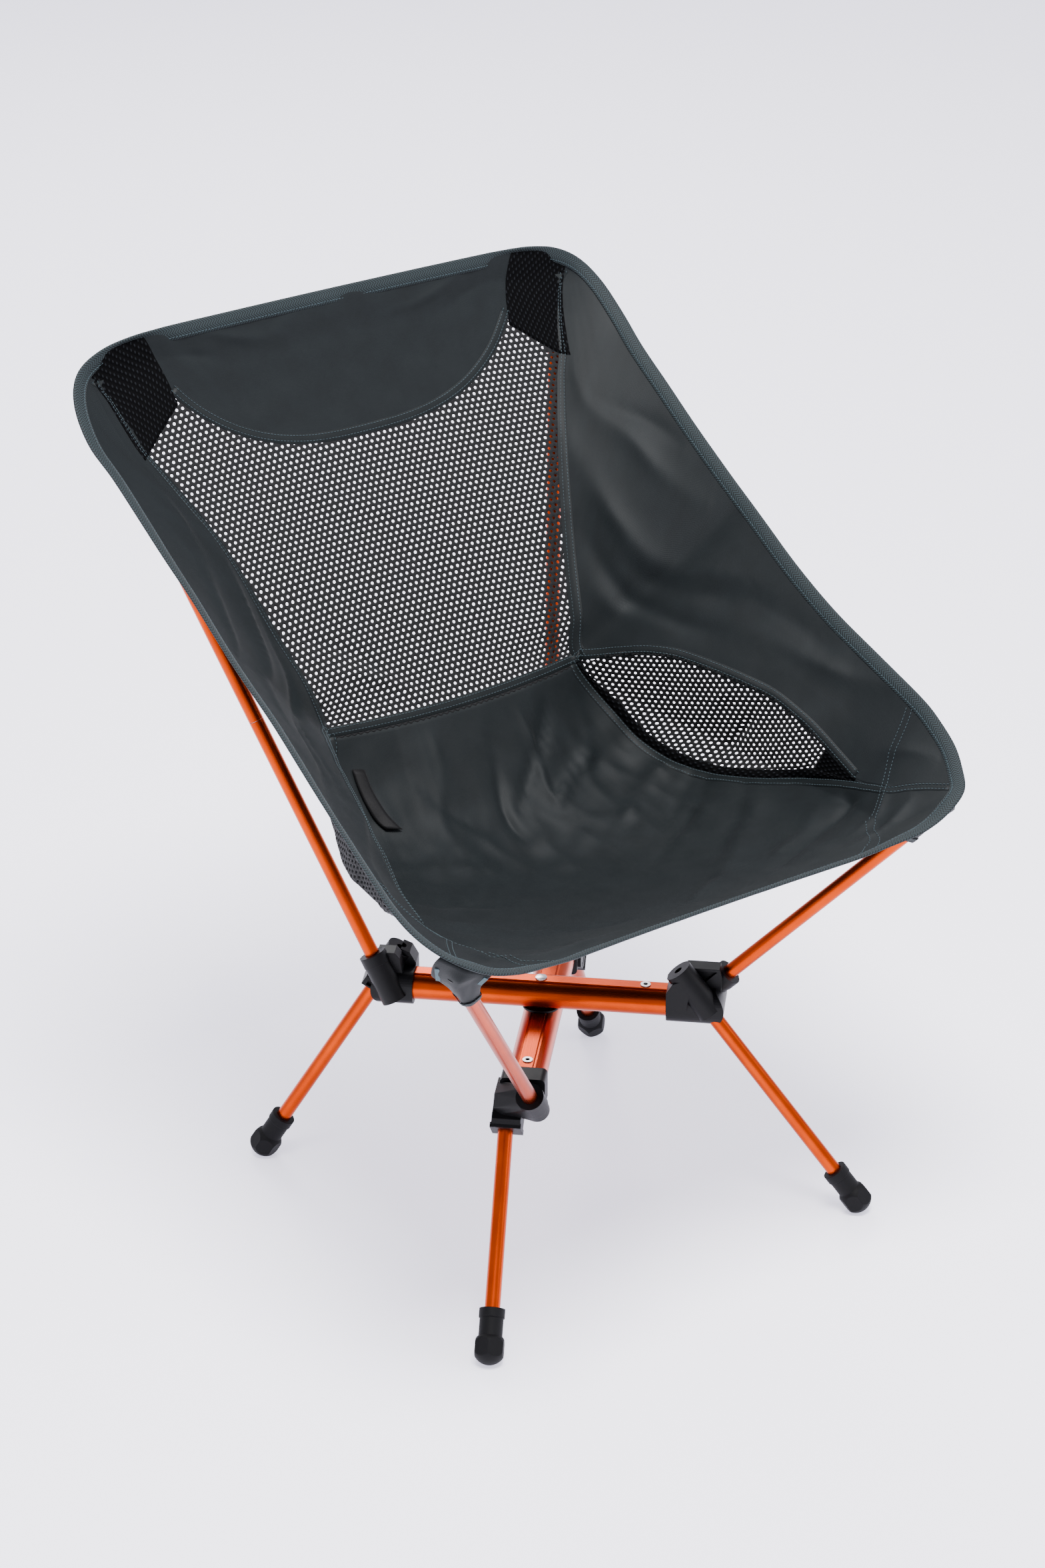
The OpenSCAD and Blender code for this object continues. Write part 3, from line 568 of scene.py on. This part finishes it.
def arc_v(x):
    """Row of the top panel's lower edge, x mm from the middle."""
    return LAST - ARC_DEEP * np.maximum(0, 1 - (np.abs(x) / ARC_HALF) ** ARC_POWER) ** (1 / ARC_POWER)


def smooth_path(points, n=60):
    """Smooth curve through a few (t, row) points."""
    p = np.array(points, float)
    p = np.vstack([2 * p[0] - p[1], p, 2 * p[-1] - p[-2]])
    out = []
    for i in range(1, len(p) - 2):
        f = np.linspace(0, 1, n, endpoint=i == len(p) - 3)[:, None]
        out.append(catmull_rom(*p[i - 1:i + 3], f))
    return np.vstack(out)


def run_length(p):
    """Distance from the first point to each point of a line."""
    return np.concatenate([[0], np.cumsum(np.linalg.norm(np.diff(p, axis=0), axis=1))])


def even(path, step):
    """The path again, at even steps in mm along the cloth, and the distance to each step."""
    s = run_length(cloth(path[:, 0], path[:, 1]) / MM)
    keep = np.concatenate([[True], np.diff(s) > 1e-6])
    n = max(2, int(round(s[-1] / step)) + 1)
    at = np.linspace(0, s[-1], n)
    return np.stack([np.interp(at, s[keep], path[keep, k]) for k in (0, 1)], 1), at


def beside(path, off):
    """The path moved off mm to its left on the cloth, with its side, normal and direction vectors."""
    t, v = path[:, 0], path[:, 1]
    dt, dv, n = frame_at(cloth, t, v)
    along = np.gradient(cloth(t, v), axis=0)
    along /= np.linalg.norm(along, axis=1)[:, None] + 1e-12
    side = np.cross(n, along)
    move = side * np.broadcast_to(off, len(path))[:, None] * MM
    out = np.empty_like(path)
    for i in range(len(path)):
        sol = np.linalg.lstsq(np.stack([dt[i], dv[i]], 1), move[i], rcond=None)[0]
        out[i] = path[i] + sol
    return out, side, n, along


# ---------------------------------------------------------------- mesh building
def make(name, verts, faces, mat, uvs, smooth=True):
    mesh = bpy.data.meshes.new(name)
    mesh.from_pydata([tuple(p) for p in np.asarray(verts, float)], [], [tuple(int(i) for i in f) for f in faces])
    layer = mesh.uv_layers.new(name="UVMap")
    loops = np.empty(len(mesh.loops), int)
    mesh.loops.foreach_get("vertex_index", loops)
    layer.data.foreach_set("uv", np.asarray(uvs, np.float32)[loops].ravel())
    mesh.materials.append(mat)
    mesh.validate()
    if smooth:
        mesh.polygons.foreach_set("use_smooth", [True] * len(mesh.polygons))
    obj = bpy.data.objects.new(name, mesh)
    bpy.context.scene.collection.objects.link(obj)
    return obj


def grid_faces(n, m, close=False):
    """Quads of an n by m grid of points; close joins the last row to the first."""
    rows = [(i * m, (i + 1) % n * m) for i in range(n if close else n - 1)]
    return [(a + j, a + j + 1, b + j + 1, b + j) for a, b in rows for j in range(m - 1)]


def tube_faces(n, m, start=0):
    """Quads of a tube of n rings with m points each, from vertex number start."""
    rings = [(start + i * m, start + (i + 1) * m) for i in range(n - 1)]
    return [(a + j, a + (j + 1) % m, b + (j + 1) % m, b + j) for a, b in rings for j in range(m)]


def grid_uv(across, along):
    """UVs for a grid whose columns and rows lie at these distances."""
    return np.stack(np.broadcast_arrays(across[None, :], along[:, None]), 2).reshape(-1, 2)


def metric_uv(p):
    """UVs in millimetres for a grid of points: distance along each direction from the first."""
    du = np.linalg.norm(np.diff(p, axis=1), axis=2) / MM
    dv = np.linalg.norm(np.diff(p, axis=0), axis=2) / MM
    u = np.concatenate([np.zeros((p.shape[0], 1)), np.cumsum(du, 1)], 1)
    u -= u[:, p.shape[1] // 2][:, None]
    v = np.concatenate([np.zeros((1, p.shape[1])), np.cumsum(dv, 0)], 0)
    return np.stack([u, v], 2).reshape(-1, 2)


def thicken(obj, thick, offset=0.0):
    """Gives a sheet its thickness in metres: offset 0 on both sides, 1 outwards."""
    mod = obj.modifiers.new("thickness", "SOLIDIFY")
    mod.thickness = thick
    mod.offset = offset
    mod.use_even_offset = True
    bpy.context.view_layer.objects.active = obj
    with bpy.context.temp_override(object=obj, active_object=obj, selected_objects=[obj]):
        bpy.ops.object.modifier_apply(modifier=mod.name)


def settle(obj, nodes=()):
    """Makes a piece ride the sling, and hides the nodes it replaces."""
    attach(obj, SOFT_BODY)
    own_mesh(obj)
    if nodes:
        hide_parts(*nodes)


CLOTH_MM = 0.5


def panel(name, t, v, mat, lift=0.0, thick=CLOTH_MM):
    """A sheet over a grid of (t, row) points, lift mm above the sewn surface."""
    p = cloth(t, v)
    if lift:
        p = p + frame_at(cloth, t, v)[2] * lift * MM
    n, m = t.shape
    obj = make(name, p.reshape(-1, 3), grid_faces(n, m), mat, metric_uv(p))
    thicken(obj, thick * MM)
    return obj


def spanned(lo, hi, v, n):
    """A grid with n columns between two borders given on each row."""
    f = np.linspace(0, 1, n)
    return lo[:, None] * (1 - f) + hi[:, None] * f, np.repeat(v[:, None], n, 1)


def flat_size(obj):
    """Width and length in metres of a panel laid flat, from its UVs, and the area of one of its faces."""
    me = obj.data
    area = sum(p.area for p in me.polygons) / 2
    uv = np.empty(len(me.loops) * 2, np.float32)
    me.uv_layers[0].data.foreach_get("uv", uv)
    uv = uv.reshape(-1, 2)
    w, l = (uv.max(0) - uv.min(0)) * MM
    return float(w), float(l), float(area)


def declare(obj):
    w, l, area = flat_size(obj)


SIDES = ((1, "right"), (-1, "left"))
# A corner patch's corners, as (x mm, row): the lower edge's two, then the upper edge's two.
PATCH_LOW = np.array([[157, 17.5], [202, 16.6]])
PATCH_HIGH = np.array([[176, 21.0], [226, 19.3]])


def build_panels():
    v = np.linspace(0, HIP, 120)
    half = np.minimum(table_t(SEAT_T, v) + np.interp(v, (5.8, 6.6), (0, 0.03)), 2)
    t, vv = spanned(-half, half, v, 180)
    seat = panel("seat_cloth", t, vv, M["cloth"])
    settle(seat, ["seat_panel"])
    declare(seat)

    v = np.linspace(2.55, 19.3, 170)
    for side, word in SIDES:
        lo = np.minimum(table_t(SIDE_T, v), 1.99)
        t, vv = spanned(lo, np.full_like(lo, RIM_T), v, 60)
        wall = panel("side_cloth_" + word, side * t, vv, M["cloth"])
        settle(wall, ["side_panel_" + word])
        declare(wall)

    x = 176 * np.sin(np.linspace(-math.pi / 2, math.pi / 2, 120))
    f = np.linspace(0, 1, 50)[:, None]
    lo = arc_v(x)[None, :]
    vv = lo * (1 - f) + LAST * f
    t = t_of_x(np.repeat(x[None, :], 50, 0), vv)
    top = panel("top_cloth", t, vv, M["cloth"])
    settle(top, ["top_panel"])
    declare(top)

    for side, word in SIDES:
        a = np.linspace(0, 1, 30)[None, :, None]
        b = np.linspace(0, 1, 30)[:, None, None]
        low = (1 - a) * PATCH_LOW[0] + a * PATCH_LOW[1]
        high = (1 - a) * PATCH_HIGH[0] + a * PATCH_HIGH[1]
        xy = (1 - b) * low + b * high
        t = t_of_x(side * xy[..., 0], xy[..., 1])
        patch = panel("corner_spacer_" + word, t, xy[..., 1], M["spacer"], thick=1.4)
        settle(patch, ["corner_mesh_" + word])
        declare(patch)


# ---------------------------------------------------------------- open net
PITCH, HOLE, HOLE_SQUASH, NET_MM = 5.5, 2.85, 0.92, 0.7


def net(name, to_tv, box, inside):
    """A knitted net with round holes in hexagonal cells, laid in flat millimetres.

    to_tv takes flat points to (t, row), and inside says which cells the net keeps."""
    verts, faces, uvs, index = [], [], [], {}

    def corner(x, y):
        """The number of the vertex at a cell's border, which neighbours share."""
        key = (round(x * 8), round(y * 8))
        if key not in index:
            index[key] = len(verts)
            verts.append((x, y))
        return index[key]

    r = PITCH / math.sqrt(3)
    step_y = PITCH * math.sqrt(3) / 2
    x0, x1, y0, y1 = box
    for j in range(int(math.floor(y0 / step_y)), int(math.ceil(y1 / step_y)) + 1):
        cy = j * step_y
        for i in range(int(math.floor(x0 / PITCH)) - 1, int(math.ceil(x1 / PITCH)) + 2):
            cx = (i + 0.5 * (j % 2)) * PITCH
            if not inside(cx, cy):
                continue
            hexa = [(cx + r * math.sin(math.pi / 3 * k), cy + r * math.cos(math.pi / 3 * k)) for k in range(6)]
            outer = []
            for k in range(6):
                a, b = hexa[k], hexa[(k + 1) % 6]
                outer += [corner(*a), corner((a[0] + b[0]) / 2, (a[1] + b[1]) / 2)]
            inner = []
            for k in range(12):
                ang = math.pi / 6 * k
                inner.append(len(verts))
                verts.append((cx + HOLE / 2 * math.sin(ang), cy + HOLE_SQUASH * HOLE / 2 * math.cos(ang)))
            for k in range(12):
                faces.append((outer[k], outer[(k + 1) % 12], inner[(k + 1) % 12], inner[k]))
    flat = np.array(verts)
    t, v = to_tv(flat[:, 0], flat[:, 1])
    p = cloth(t, v)
    obj = make(name, p, faces, M["net"], flat)
    thicken(obj, NET_MM * MM)
    return obj


# Distance in mm from the front edge at each of these rows, along the middle and along the knee.
FINE_V = np.linspace(0, LAST, 841)
MID_LEN = run_length(surf(np.zeros(len(FINE_V)), FINE_V)) / MM
KNEE_LEN = run_length(surf(np.ones(len(FINE_V)), FINE_V)) / MM


def build_back():
    def to_tv(x, y):
        v = np.interp(y, MID_LEN, FINE_V)
        return t_of_x(x, v), v

    def inside(x, y):
        v = float(np.interp(y, MID_LEN, FINE_V))
        if v < HIP - 0.02 or v > arc_v(x) + 0.12:
            return False
        k = spline(KNEE, np.array([v]))[0, 0]
        if abs(x) > k + 2:
            return False
        return v < np.interp(abs(x), (157, 202), (17.6, 16.7)) or abs(x) < 155

    y0, y1 = np.interp((HIP, 20), FINE_V, MID_LEN)
    back = net("back_net", to_tv, (-215, 215, y0, y1), inside)
    settle(back, ["back_mesh"])
    declare(back)


def across_mm(v):
    """Distances across the cloth at a row, from the middle: lists of t and mm."""
    t = np.linspace(0, RIM_T, 81)
    return t, run_length(surf(t, np.full(len(t), v)) / MM)


def build_windows():
    rows = np.linspace(4, 11.2, 145)
    tabs = [across_mm(v) for v in rows]
    knee_at = [np.interp(KNEE_T, t, d) for t, d in tabs]

    def t_at(q, v):
        i = int(np.clip(round((v - rows[0]) / (rows[1] - rows[0])), 0, len(rows) - 1))
        t, d = tabs[i]
        return float(np.interp(q + knee_at[i], d, t))

    for side, word in SIDES:
        def to_tv(x, y):
            v = np.interp(y, KNEE_LEN, FINE_V)
            return side * np.array([t_at(a, b) for a, b in zip(x, v)]), v

        def inside(x, y):
            v = float(np.interp(y, KNEE_LEN, FINE_V))
            if not 6.75 < v < HIP:
                return False
            t = t_at(x, v)
            return table_t(SEAT_T, v) + 0.02 < t < table_t(SIDE_T, v) + 0.01

        y0, y1 = np.interp((5, HIP), FINE_V, KNEE_LEN)
        window = net("side_net_" + word, to_tv, (-60, 60, y0, y1), inside)
        settle(window, ["side_mesh_" + word])
        v = np.linspace(6.1, 6.95, 18)
        lo = table_t(SEAT_T, v)
        t, vv = spanned(lo - 0.01, np.maximum(table_t(SIDE_T, v), lo) + 0.01, v, 10)
        tip = panel("window_tip_" + word, side * t, vv, M["spacer"], lift=0.3)
        settle(tip)
        declare(window)


# ---------------------------------------------------------------- seam bands, stitches and tape
BAND_STEP, BAND_MM, BAND_EDGE = 4.0, 0.35, 0.3


def band(name, path, near, far, mat="band", height=0.4, taper=0.0):
    """A folded strip of cloth that lies on a seam, from near mm to far mm beside the path.

    taper is the share of its length, at each end, over which it narrows to nothing."""
    path, at = even(path, BAND_STEP)
    f = at / at[-1]
    wide = np.clip(np.minimum(f, 1 - f) / taper, 0.05, 1) ** 0.7 if taper else np.ones_like(f)
    edge = math.copysign(BAND_EDGE, far - near)
    profile = [(near, 0.15), (near + edge, height), ((near + far) / 2, height + 0.06), (far - edge, height),
               (far, 0.15)]
    cols = []
    for off, lift in profile:
        tv, side, n, along = beside(path, off * wide)
        cols.append(cloth(tv[:, 0], tv[:, 1]) + n * lift * MM)
    p = np.stack(cols, 1)
    uv = grid_uv(np.array([off for off, _ in profile]), at)
    obj = make(name, p.reshape(-1, 3), grid_faces(len(path), len(profile)), M[mat], uv)
    thicken(obj, BAND_MM * MM)
    settle(obj)


STITCH_PITCH, STITCH_HALF, STITCH_RADIUS, STITCH_SIDES = 2.9, 1.05, 0.34, 6   # mm
# A stitch's rings: where along it, how wide, and how far down in mm.
STITCH_RINGS = [(-1.0, 0.35, -0.25), (-0.72, 1.0, 0.0), (0.72, 1.0, 0.0), (1.0, 0.35, -0.25)]
STITCH_ROUND = [(math.cos(a), math.sin(a)) for a in np.linspace(0, ROUND, STITCH_SIDES, endpoint=False)]


def dash(verts, faces, at, along, side, up):
    """Adds one sewn dash, which dips into the cloth at both ends."""
    start = len(verts)
    for s, grow, drop in STITCH_RINGS:
        for a, b in STITCH_ROUND:
            verts.append(at + along * s * STITCH_HALF * MM + side * a * STITCH_RADIUS * grow * MM
                         + up * (b * STITCH_RADIUS * grow + drop) * MM)
    faces += tube_faces(len(STITCH_RINGS), STITCH_SIDES, start)
    faces.append(tuple(start + k for k in range(STITCH_SIDES - 1, -1, -1)))
    faces.append(tuple(range(len(verts) - STITCH_SIDES, len(verts))))


def stitch_mesh(lines):
    """Short sewn dashes along lines of (path, offset, lift)."""
    verts, faces = [], []
    for path, off, lift in lines:
        path, _ = even(path, STITCH_PITCH)
        tv, side, n, along = beside(path, off)
        c = cloth(tv[:, 0], tv[:, 1]) + n * lift * MM
        for k in range(len(c)):
            dash(verts, faces, c[k], along[k], side[k], n[k])
    return verts, faces


def line_tv(points_x):
    """(x mm, row) points turned into (t, row)."""
    p = np.array(points_x, float)
    return np.stack([t_of_x(p[:, 0], p[:, 1]), p[:, 1]], 1)


# The stitch lines that cross the seat's front corners, and the seam beside the corner patch.
CORNER_LINE = [(1.887, 6.05), (1.607, 5.65), (1.36, 4.85), (1.147, 4.05), (1.0, 3.3), (1.02, 1.9), (1.1, 0.5)]
PATCH_ROWS, PATCH_X = (16.6, 18.95), (195, 217)


def seam_paths(side):
    """The long seams of one side, as (t, row) points: seat, window, back and front corner."""
    v = np.linspace(2.75, HIP, 90)
    seat_side = np.stack([table_t(SEAT_T, v), v], 1)
    v = np.linspace(6.15, HIP, 60)
    window_top = np.stack([table_t(SIDE_T, v), v], 1)
    v = np.linspace(HIP, PATCH_ROWS[1], 82)
    beside_patch = t_of_x(np.interp(v, PATCH_ROWS, PATCH_X), v)
    back_side = np.stack([np.where(v > PATCH_ROWS[0], beside_patch, KNEE_T), v], 1)
    paths = (seat_side, window_top, back_side, smooth_path(CORNER_LINE, 16))
    return [rounded(p) * np.array([side, 1]) for p in paths]


def rounded(path, passes=6):
    """Takes the kinks out of a path, keeping its ends."""
    p = path.copy()
    for _ in range(passes):
        p[1:-1] = (p[:-2] + 2 * p[1:-1] + p[2:]) / 4
    return p


ON_BAND, ON_CLOTH = 0.72, 0.5   # mm from the sewn surface to the middle of a stitch


def build_seams():
    lines = []
    for side, word in SIDES:
        seat_side, window_top, back_side, corner = seam_paths(side)
        wall = -side   # the side panel lies to the right of a path that runs to the top
        band("seam_band_back_" + word, back_side, -1.5 * wall, 8.5 * wall)
        band("seam_band_window_" + word, window_top, -1.0 * wall, 9.0 * wall)
        band("seam_band_seat_" + word, seat_side, -1.0 * wall, 7.0 * -wall)
        lower = seat_side[seat_side[:, 1] > 6.2]
        band("window_border_" + word, lower, 0.0, 7.5 * wall, "spacer", height=0.7, taper=0.16)
        for off in (1.6, 6.6):
            lines.append((back_side, off * wall, ON_BAND))
            lines.append((window_top, (off + 0.6) * wall, ON_BAND))
        for off in (1.2, 5.6):
            lines.append((seat_side, -off * wall, ON_BAND))
            lines.append((corner, off * wall, ON_CLOTH))
    t = np.linspace(-1.03, 1.03, 80)
    hip = np.stack([t, np.full_like(t, HIP)], 1)
    band("seam_band_hip", hip, -1.0, 8.0)
    lines += [(hip, 1.5, ON_BAND), (hip, 6.0, ON_BAND)]
    x = 160 * np.sin(np.linspace(-math.pi / 2, math.pi / 2, 160))
    arc = line_tv(np.stack([x, arc_v(x)], 1))
    band("seam_band_top", arc, -1.0, 7.5)
    lines += [(arc, 1.4, ON_BAND), (arc, 6.0, ON_BAND)]
    verts, faces = stitch_mesh(lines)
    thread = make("stitches", verts, faces, M["thread"], np.array(verts)[:, :2] / MM)
    settle(thread)


def rim_path():
    """(t, row) points round the rim, back to the first."""
    f = np.linspace(0, 1, 300)
    front = np.stack([-2 + 4 * f, 0 * f], 1)
    right = np.stack([2 + 0 * f, LAST * f], 1)
    top = np.stack([2 - 4 * f, LAST + 0 * f], 1)
    left = np.stack([-2 + 0 * f, LAST * (1 - f)], 1)
    return np.vstack([front[:-1], right[:-1], top[:-1], left])


TAPE_MM, TAPE_HIGH, RIM_STEP = 11.5, 0.95, 4


def build_tape():
    """Twill tape folded over the rim: up one side, round the edge and down the other.

    Returns the rim's points, with their inward and normal vectors, every RIM_STEP mm."""
    ring = rim_path()
    p = cloth(ring[:, 0], ring[:, 1]) / MM
    s = run_length(p)
    count = int(s[-1] / RIM_STEP)
    at = np.linspace(0, s[-1], count, endpoint=False)
    pos = np.stack([np.interp(at, s, p[:, k]) for k in range(3)], 1) * MM
    tv = np.stack([np.interp(at, s, ring[:, k]) for k in (0, 1)], 1)
    for _ in range(3):
        pos = (np.roll(pos, 1, 0) + 2 * pos + np.roll(pos, -1, 0)) / 4
    inner = np.stack([np.clip(tv[:, 0], -1.93, 1.93), np.clip(tv[:, 1], 0.25, 20.75)], 1)
    n = frame_at(cloth, inner[:, 0], inner[:, 1])[2]
    for _ in range(12):
        n = np.roll(n, 1, 0) + 2 * n + np.roll(n, -1, 0)
        n /= np.linalg.norm(n, axis=1)[:, None]
    along = np.roll(pos, -1, 0) - np.roll(pos, 1, 0)
    along /= np.linalg.norm(along, axis=1)[:, None]
    inward = np.cross(n, along)
    w, h = TAPE_MM, TAPE_HIGH
    profile = [(w, 0.35), (w - 0.5, h), (w * 0.5, h + 0.25), (1.2, h + 0.1), (0.1, 0.75), (-0.35, 0), (0.1, -0.75),
               (1.2, -h - 0.1), (w * 0.5, -h - 0.2), (w - 0.5, -h), (w, -0.35)]
    cols = [pos + inward * a * MM + n * b * MM for a, b in profile]
    pts = np.stack(cols, 1)
    uv = grid_uv(run_length(np.array(profile)), at)
    tape = make("binding", pts.reshape(-1, 3), grid_faces(count, len(profile), close=True), M["tape"], uv)
    thicken(tape, 0.4 * MM)
    settle(tape, ["binding_tape"])
    verts, faces = [], []
    for x in np.arange(0, s[-1] - 2, STITCH_PITCH) / (s[-1] / count):
        i = int(x) % count
        j = (i + 1) % count
        f = x - int(x)
        c, ww, nn, aa = (q[i] * (1 - f) + q[j] * f for q in (pos, inward, n, along))
        for face in (1, -1):
            base = c + ww * (w - 2.0) * MM + nn * face * (h + 0.28) * MM
            dash(verts, faces, base, aa, ww, nn * face)
    thread = make("binding_stitches", verts, faces, M["edge_thread"], np.array(verts)[:, :2] / MM)
    settle(thread)
    return pos, inward, n


# ---------------------------------------------------------------- pockets
POUCH_SIDES, HEM_RINGS = 40, 6
POUCH_BULGE, POUCH_LIP = 6.4, 4.5   # mm: how far it stands off the pole's axis, and the edging's length
# Half widths at distances down from the rim, in mm.
FRONT_POUCH = [(0, 23), (12, 18), (24, 13), (34, 10.4), (40, 9.2), (44, 8.4)]
REAR_POUCH = [(0, 20), (14, 16), (40, 12.5), (58, 10), (64, 8)]


def pouch(name, top, down, rim, half_width, bulge, mat, lip):
    """A flattened pouch round a pole's end.

    Its upper edge follows rim, a curve of points on the sling's underside. top is the pole's tip
    and down runs along the pole. Returns the pouch, its edging, its points by ring, and the way out."""
    side = rim[-1] - rim[0]
    side -= (side @ down) * down
    side /= np.linalg.norm(side)
    out = np.cross(side, down)
    if out[2] > 0:
        out = -out
    m = POUCH_SIDES
    ang = np.linspace(0, ROUND, m, endpoint=False)
    far = half_width[-1][0]
    stations = np.concatenate([np.linspace(0, far - lip, 26), np.linspace(far - lip, far, HEM_RINGS)[1:]])
    at = (np.cos(ang) + 1) / 2 * (len(rim) - 1)
    edge = np.stack([np.interp(at, range(len(rim)), rim[:, k]) for k in range(3)], 1)
    pts = []
    for s_mm, w in zip(stations, np.interp(stations, *zip(*half_width))):
        x = w * np.cos(ang)
        free = min(1.0, s_mm / 10) ** 0.8
        puff = bulge * min(1.0, s_mm / 5)
        y = np.sin(ang) * (0.9 + puff * np.exp(-(x / 8.6) ** 2))
        wrinkle = 0.35 * np.sin(x * 0.8 + s_mm * 0.25) * np.abs(np.sin(ang))
        round_pole = top + (down * (s_mm - 4) + side * x[:, None] + out * (y + wrinkle)[:, None]) * MM
        flat = edge + out * y[:, None] * MM
        pts.append(flat * (1 - free) + round_pole * free)
    p = np.array(pts)
    uv = grid_uv(ang * 9, stations)
    body = make(name, p.reshape(-1, 3), tube_faces(len(stations), m), mat, uv)
    thicken(body, CLOTH_MM * MM, 1.0)
    hem = p[-HEM_RINGS:]
    mid = hem.mean(1, keepdims=True)
    hem = mid + (hem - mid) * (1 + 0.9 * MM / np.linalg.norm(hem - mid, axis=2, keepdims=True))
    edging = make(name + "_edging", hem.reshape(-1, 3), tube_faces(HEM_RINGS, m), M["tape"], uv[-HEM_RINGS * m:])
    thicken(edging, 0.7 * MM, 1.0)
    return body, edging, p, out


BAR_PITCH, BAR_WIDE, BAR_HALF = 0.8, 1.7, 0.32   # mm
BOX = ((0, 1, 3, 2), (4, 6, 7, 5), (0, 4, 5, 1), (2, 3, 7, 6), (0, 2, 6, 4), (1, 5, 7, 3))


def bartack(name, start, end, out):
    """A dense row of thick light threads from start to end, lying across that way."""
    along = end - start
    length = np.linalg.norm(along)
    along = along / length
    across = np.cross(out, along)
    n = int(length / MM / BAR_PITCH)
    verts, faces = [], []
    for k in range(n):
        c = start + along * length * (k + 0.5) / n
        half = [across * BAR_WIDE * MM, along * BAR_HALF * MM, out * BAR_HALF * MM]
        base = len(verts)
        verts += [c + half[0] * a + half[1] * b * 1.1 + half[2] * d
                  for a in (-1, 1) for b in (-1, 1) for d in (-1, 1)]
        faces += [tuple(base + i for i in q) for q in BOX]
    obj = make(name, verts, faces, M["bartack"], np.array(verts)[:, :2] / MM, smooth=False)
    settle(obj)


def build_pockets(rim, inward, normal):
    """rim, inward and normal describe the sling's edge, every RIM_STEP mm round it."""
    for corner in CORNERS:
        end, word = corner.split("_")
        lo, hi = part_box("tip_" + corner)
        d = long_axis("pole_" + corner + ("_upper" if end == "rear" else ""))
        d = d if d[2] > 0 else -d
        tip = (np.array(lo) + np.array(hi)) / 2 + d * 6 * MM
        shape = FRONT_POUCH if end == "front" else REAR_POUCH
        near = int(np.linalg.norm(rim - tip, axis=1).argmin())
        reach = int(round(shape[0][1] / RIM_STEP))
        span = np.arange(near - reach, near + reach + 1) % len(rim)
        edge = rim[span] + inward[span] * 5 * MM - normal[span] * 1.9 * MM
        body, edging, p, out = pouch("pouch_" + corner, tip, -d, edge, shape, POUCH_BULGE, M["cloth"], POUCH_LIP)
        settle(body, [f"{end}_pocket_{word}"])
        settle(edging)
        if end == "front":
            edge_on = POUCH_SIDES // 12
            for name, k in (("a", edge_on), ("b", POUCH_SIDES // 2 - edge_on)):
                bartack(f"bartack_{corner}_{name}", p[3, k] + out * 1.1 * MM, p[9, k] + out * 1.1 * MM, out)


# The tag's corners, as (t, row): the two at its back end, then the two at its front end.
TAG = np.array([(-0.775, 10.57), (-0.70, 10.55), (-0.60, 9.82), (-0.53, 9.79)])


def build_label():
    """The blank tag, which stands a little off the seat."""
    f = np.linspace(0, 1, 14)
    a = np.linspace(0, 1, 6)
    low = TAG[0] * (1 - a[:, None]) + TAG[1] * a[:, None]
    high = TAG[2] * (1 - a[:, None]) + TAG[3] * a[:, None]
    grid = low[None] * (1 - f)[:, None, None] + high[None] * f[:, None, None]
    p = cloth(grid[..., 0], grid[..., 1])
    n = frame_at(cloth, grid[..., 0], grid[..., 1])[2]
    lift = 1.5 + 6 * np.sin(math.pi * a)[None, :] * 0.15 + 3 * f[:, None] * 0.4
    p = p + n * lift[..., None] * MM
    obj = make("label", p.reshape(-1, 3), grid_faces(len(f), len(a)), M["label"], metric_uv(p))
    thicken(obj, 0.4 * MM)
    settle(obj, ["label_tag"])
    declare(obj)


add_camera()
add_studio()
dress_frame()
build_panels()
build_back()
build_windows()
build_seams()
build_pockets(*build_tape())
build_label()
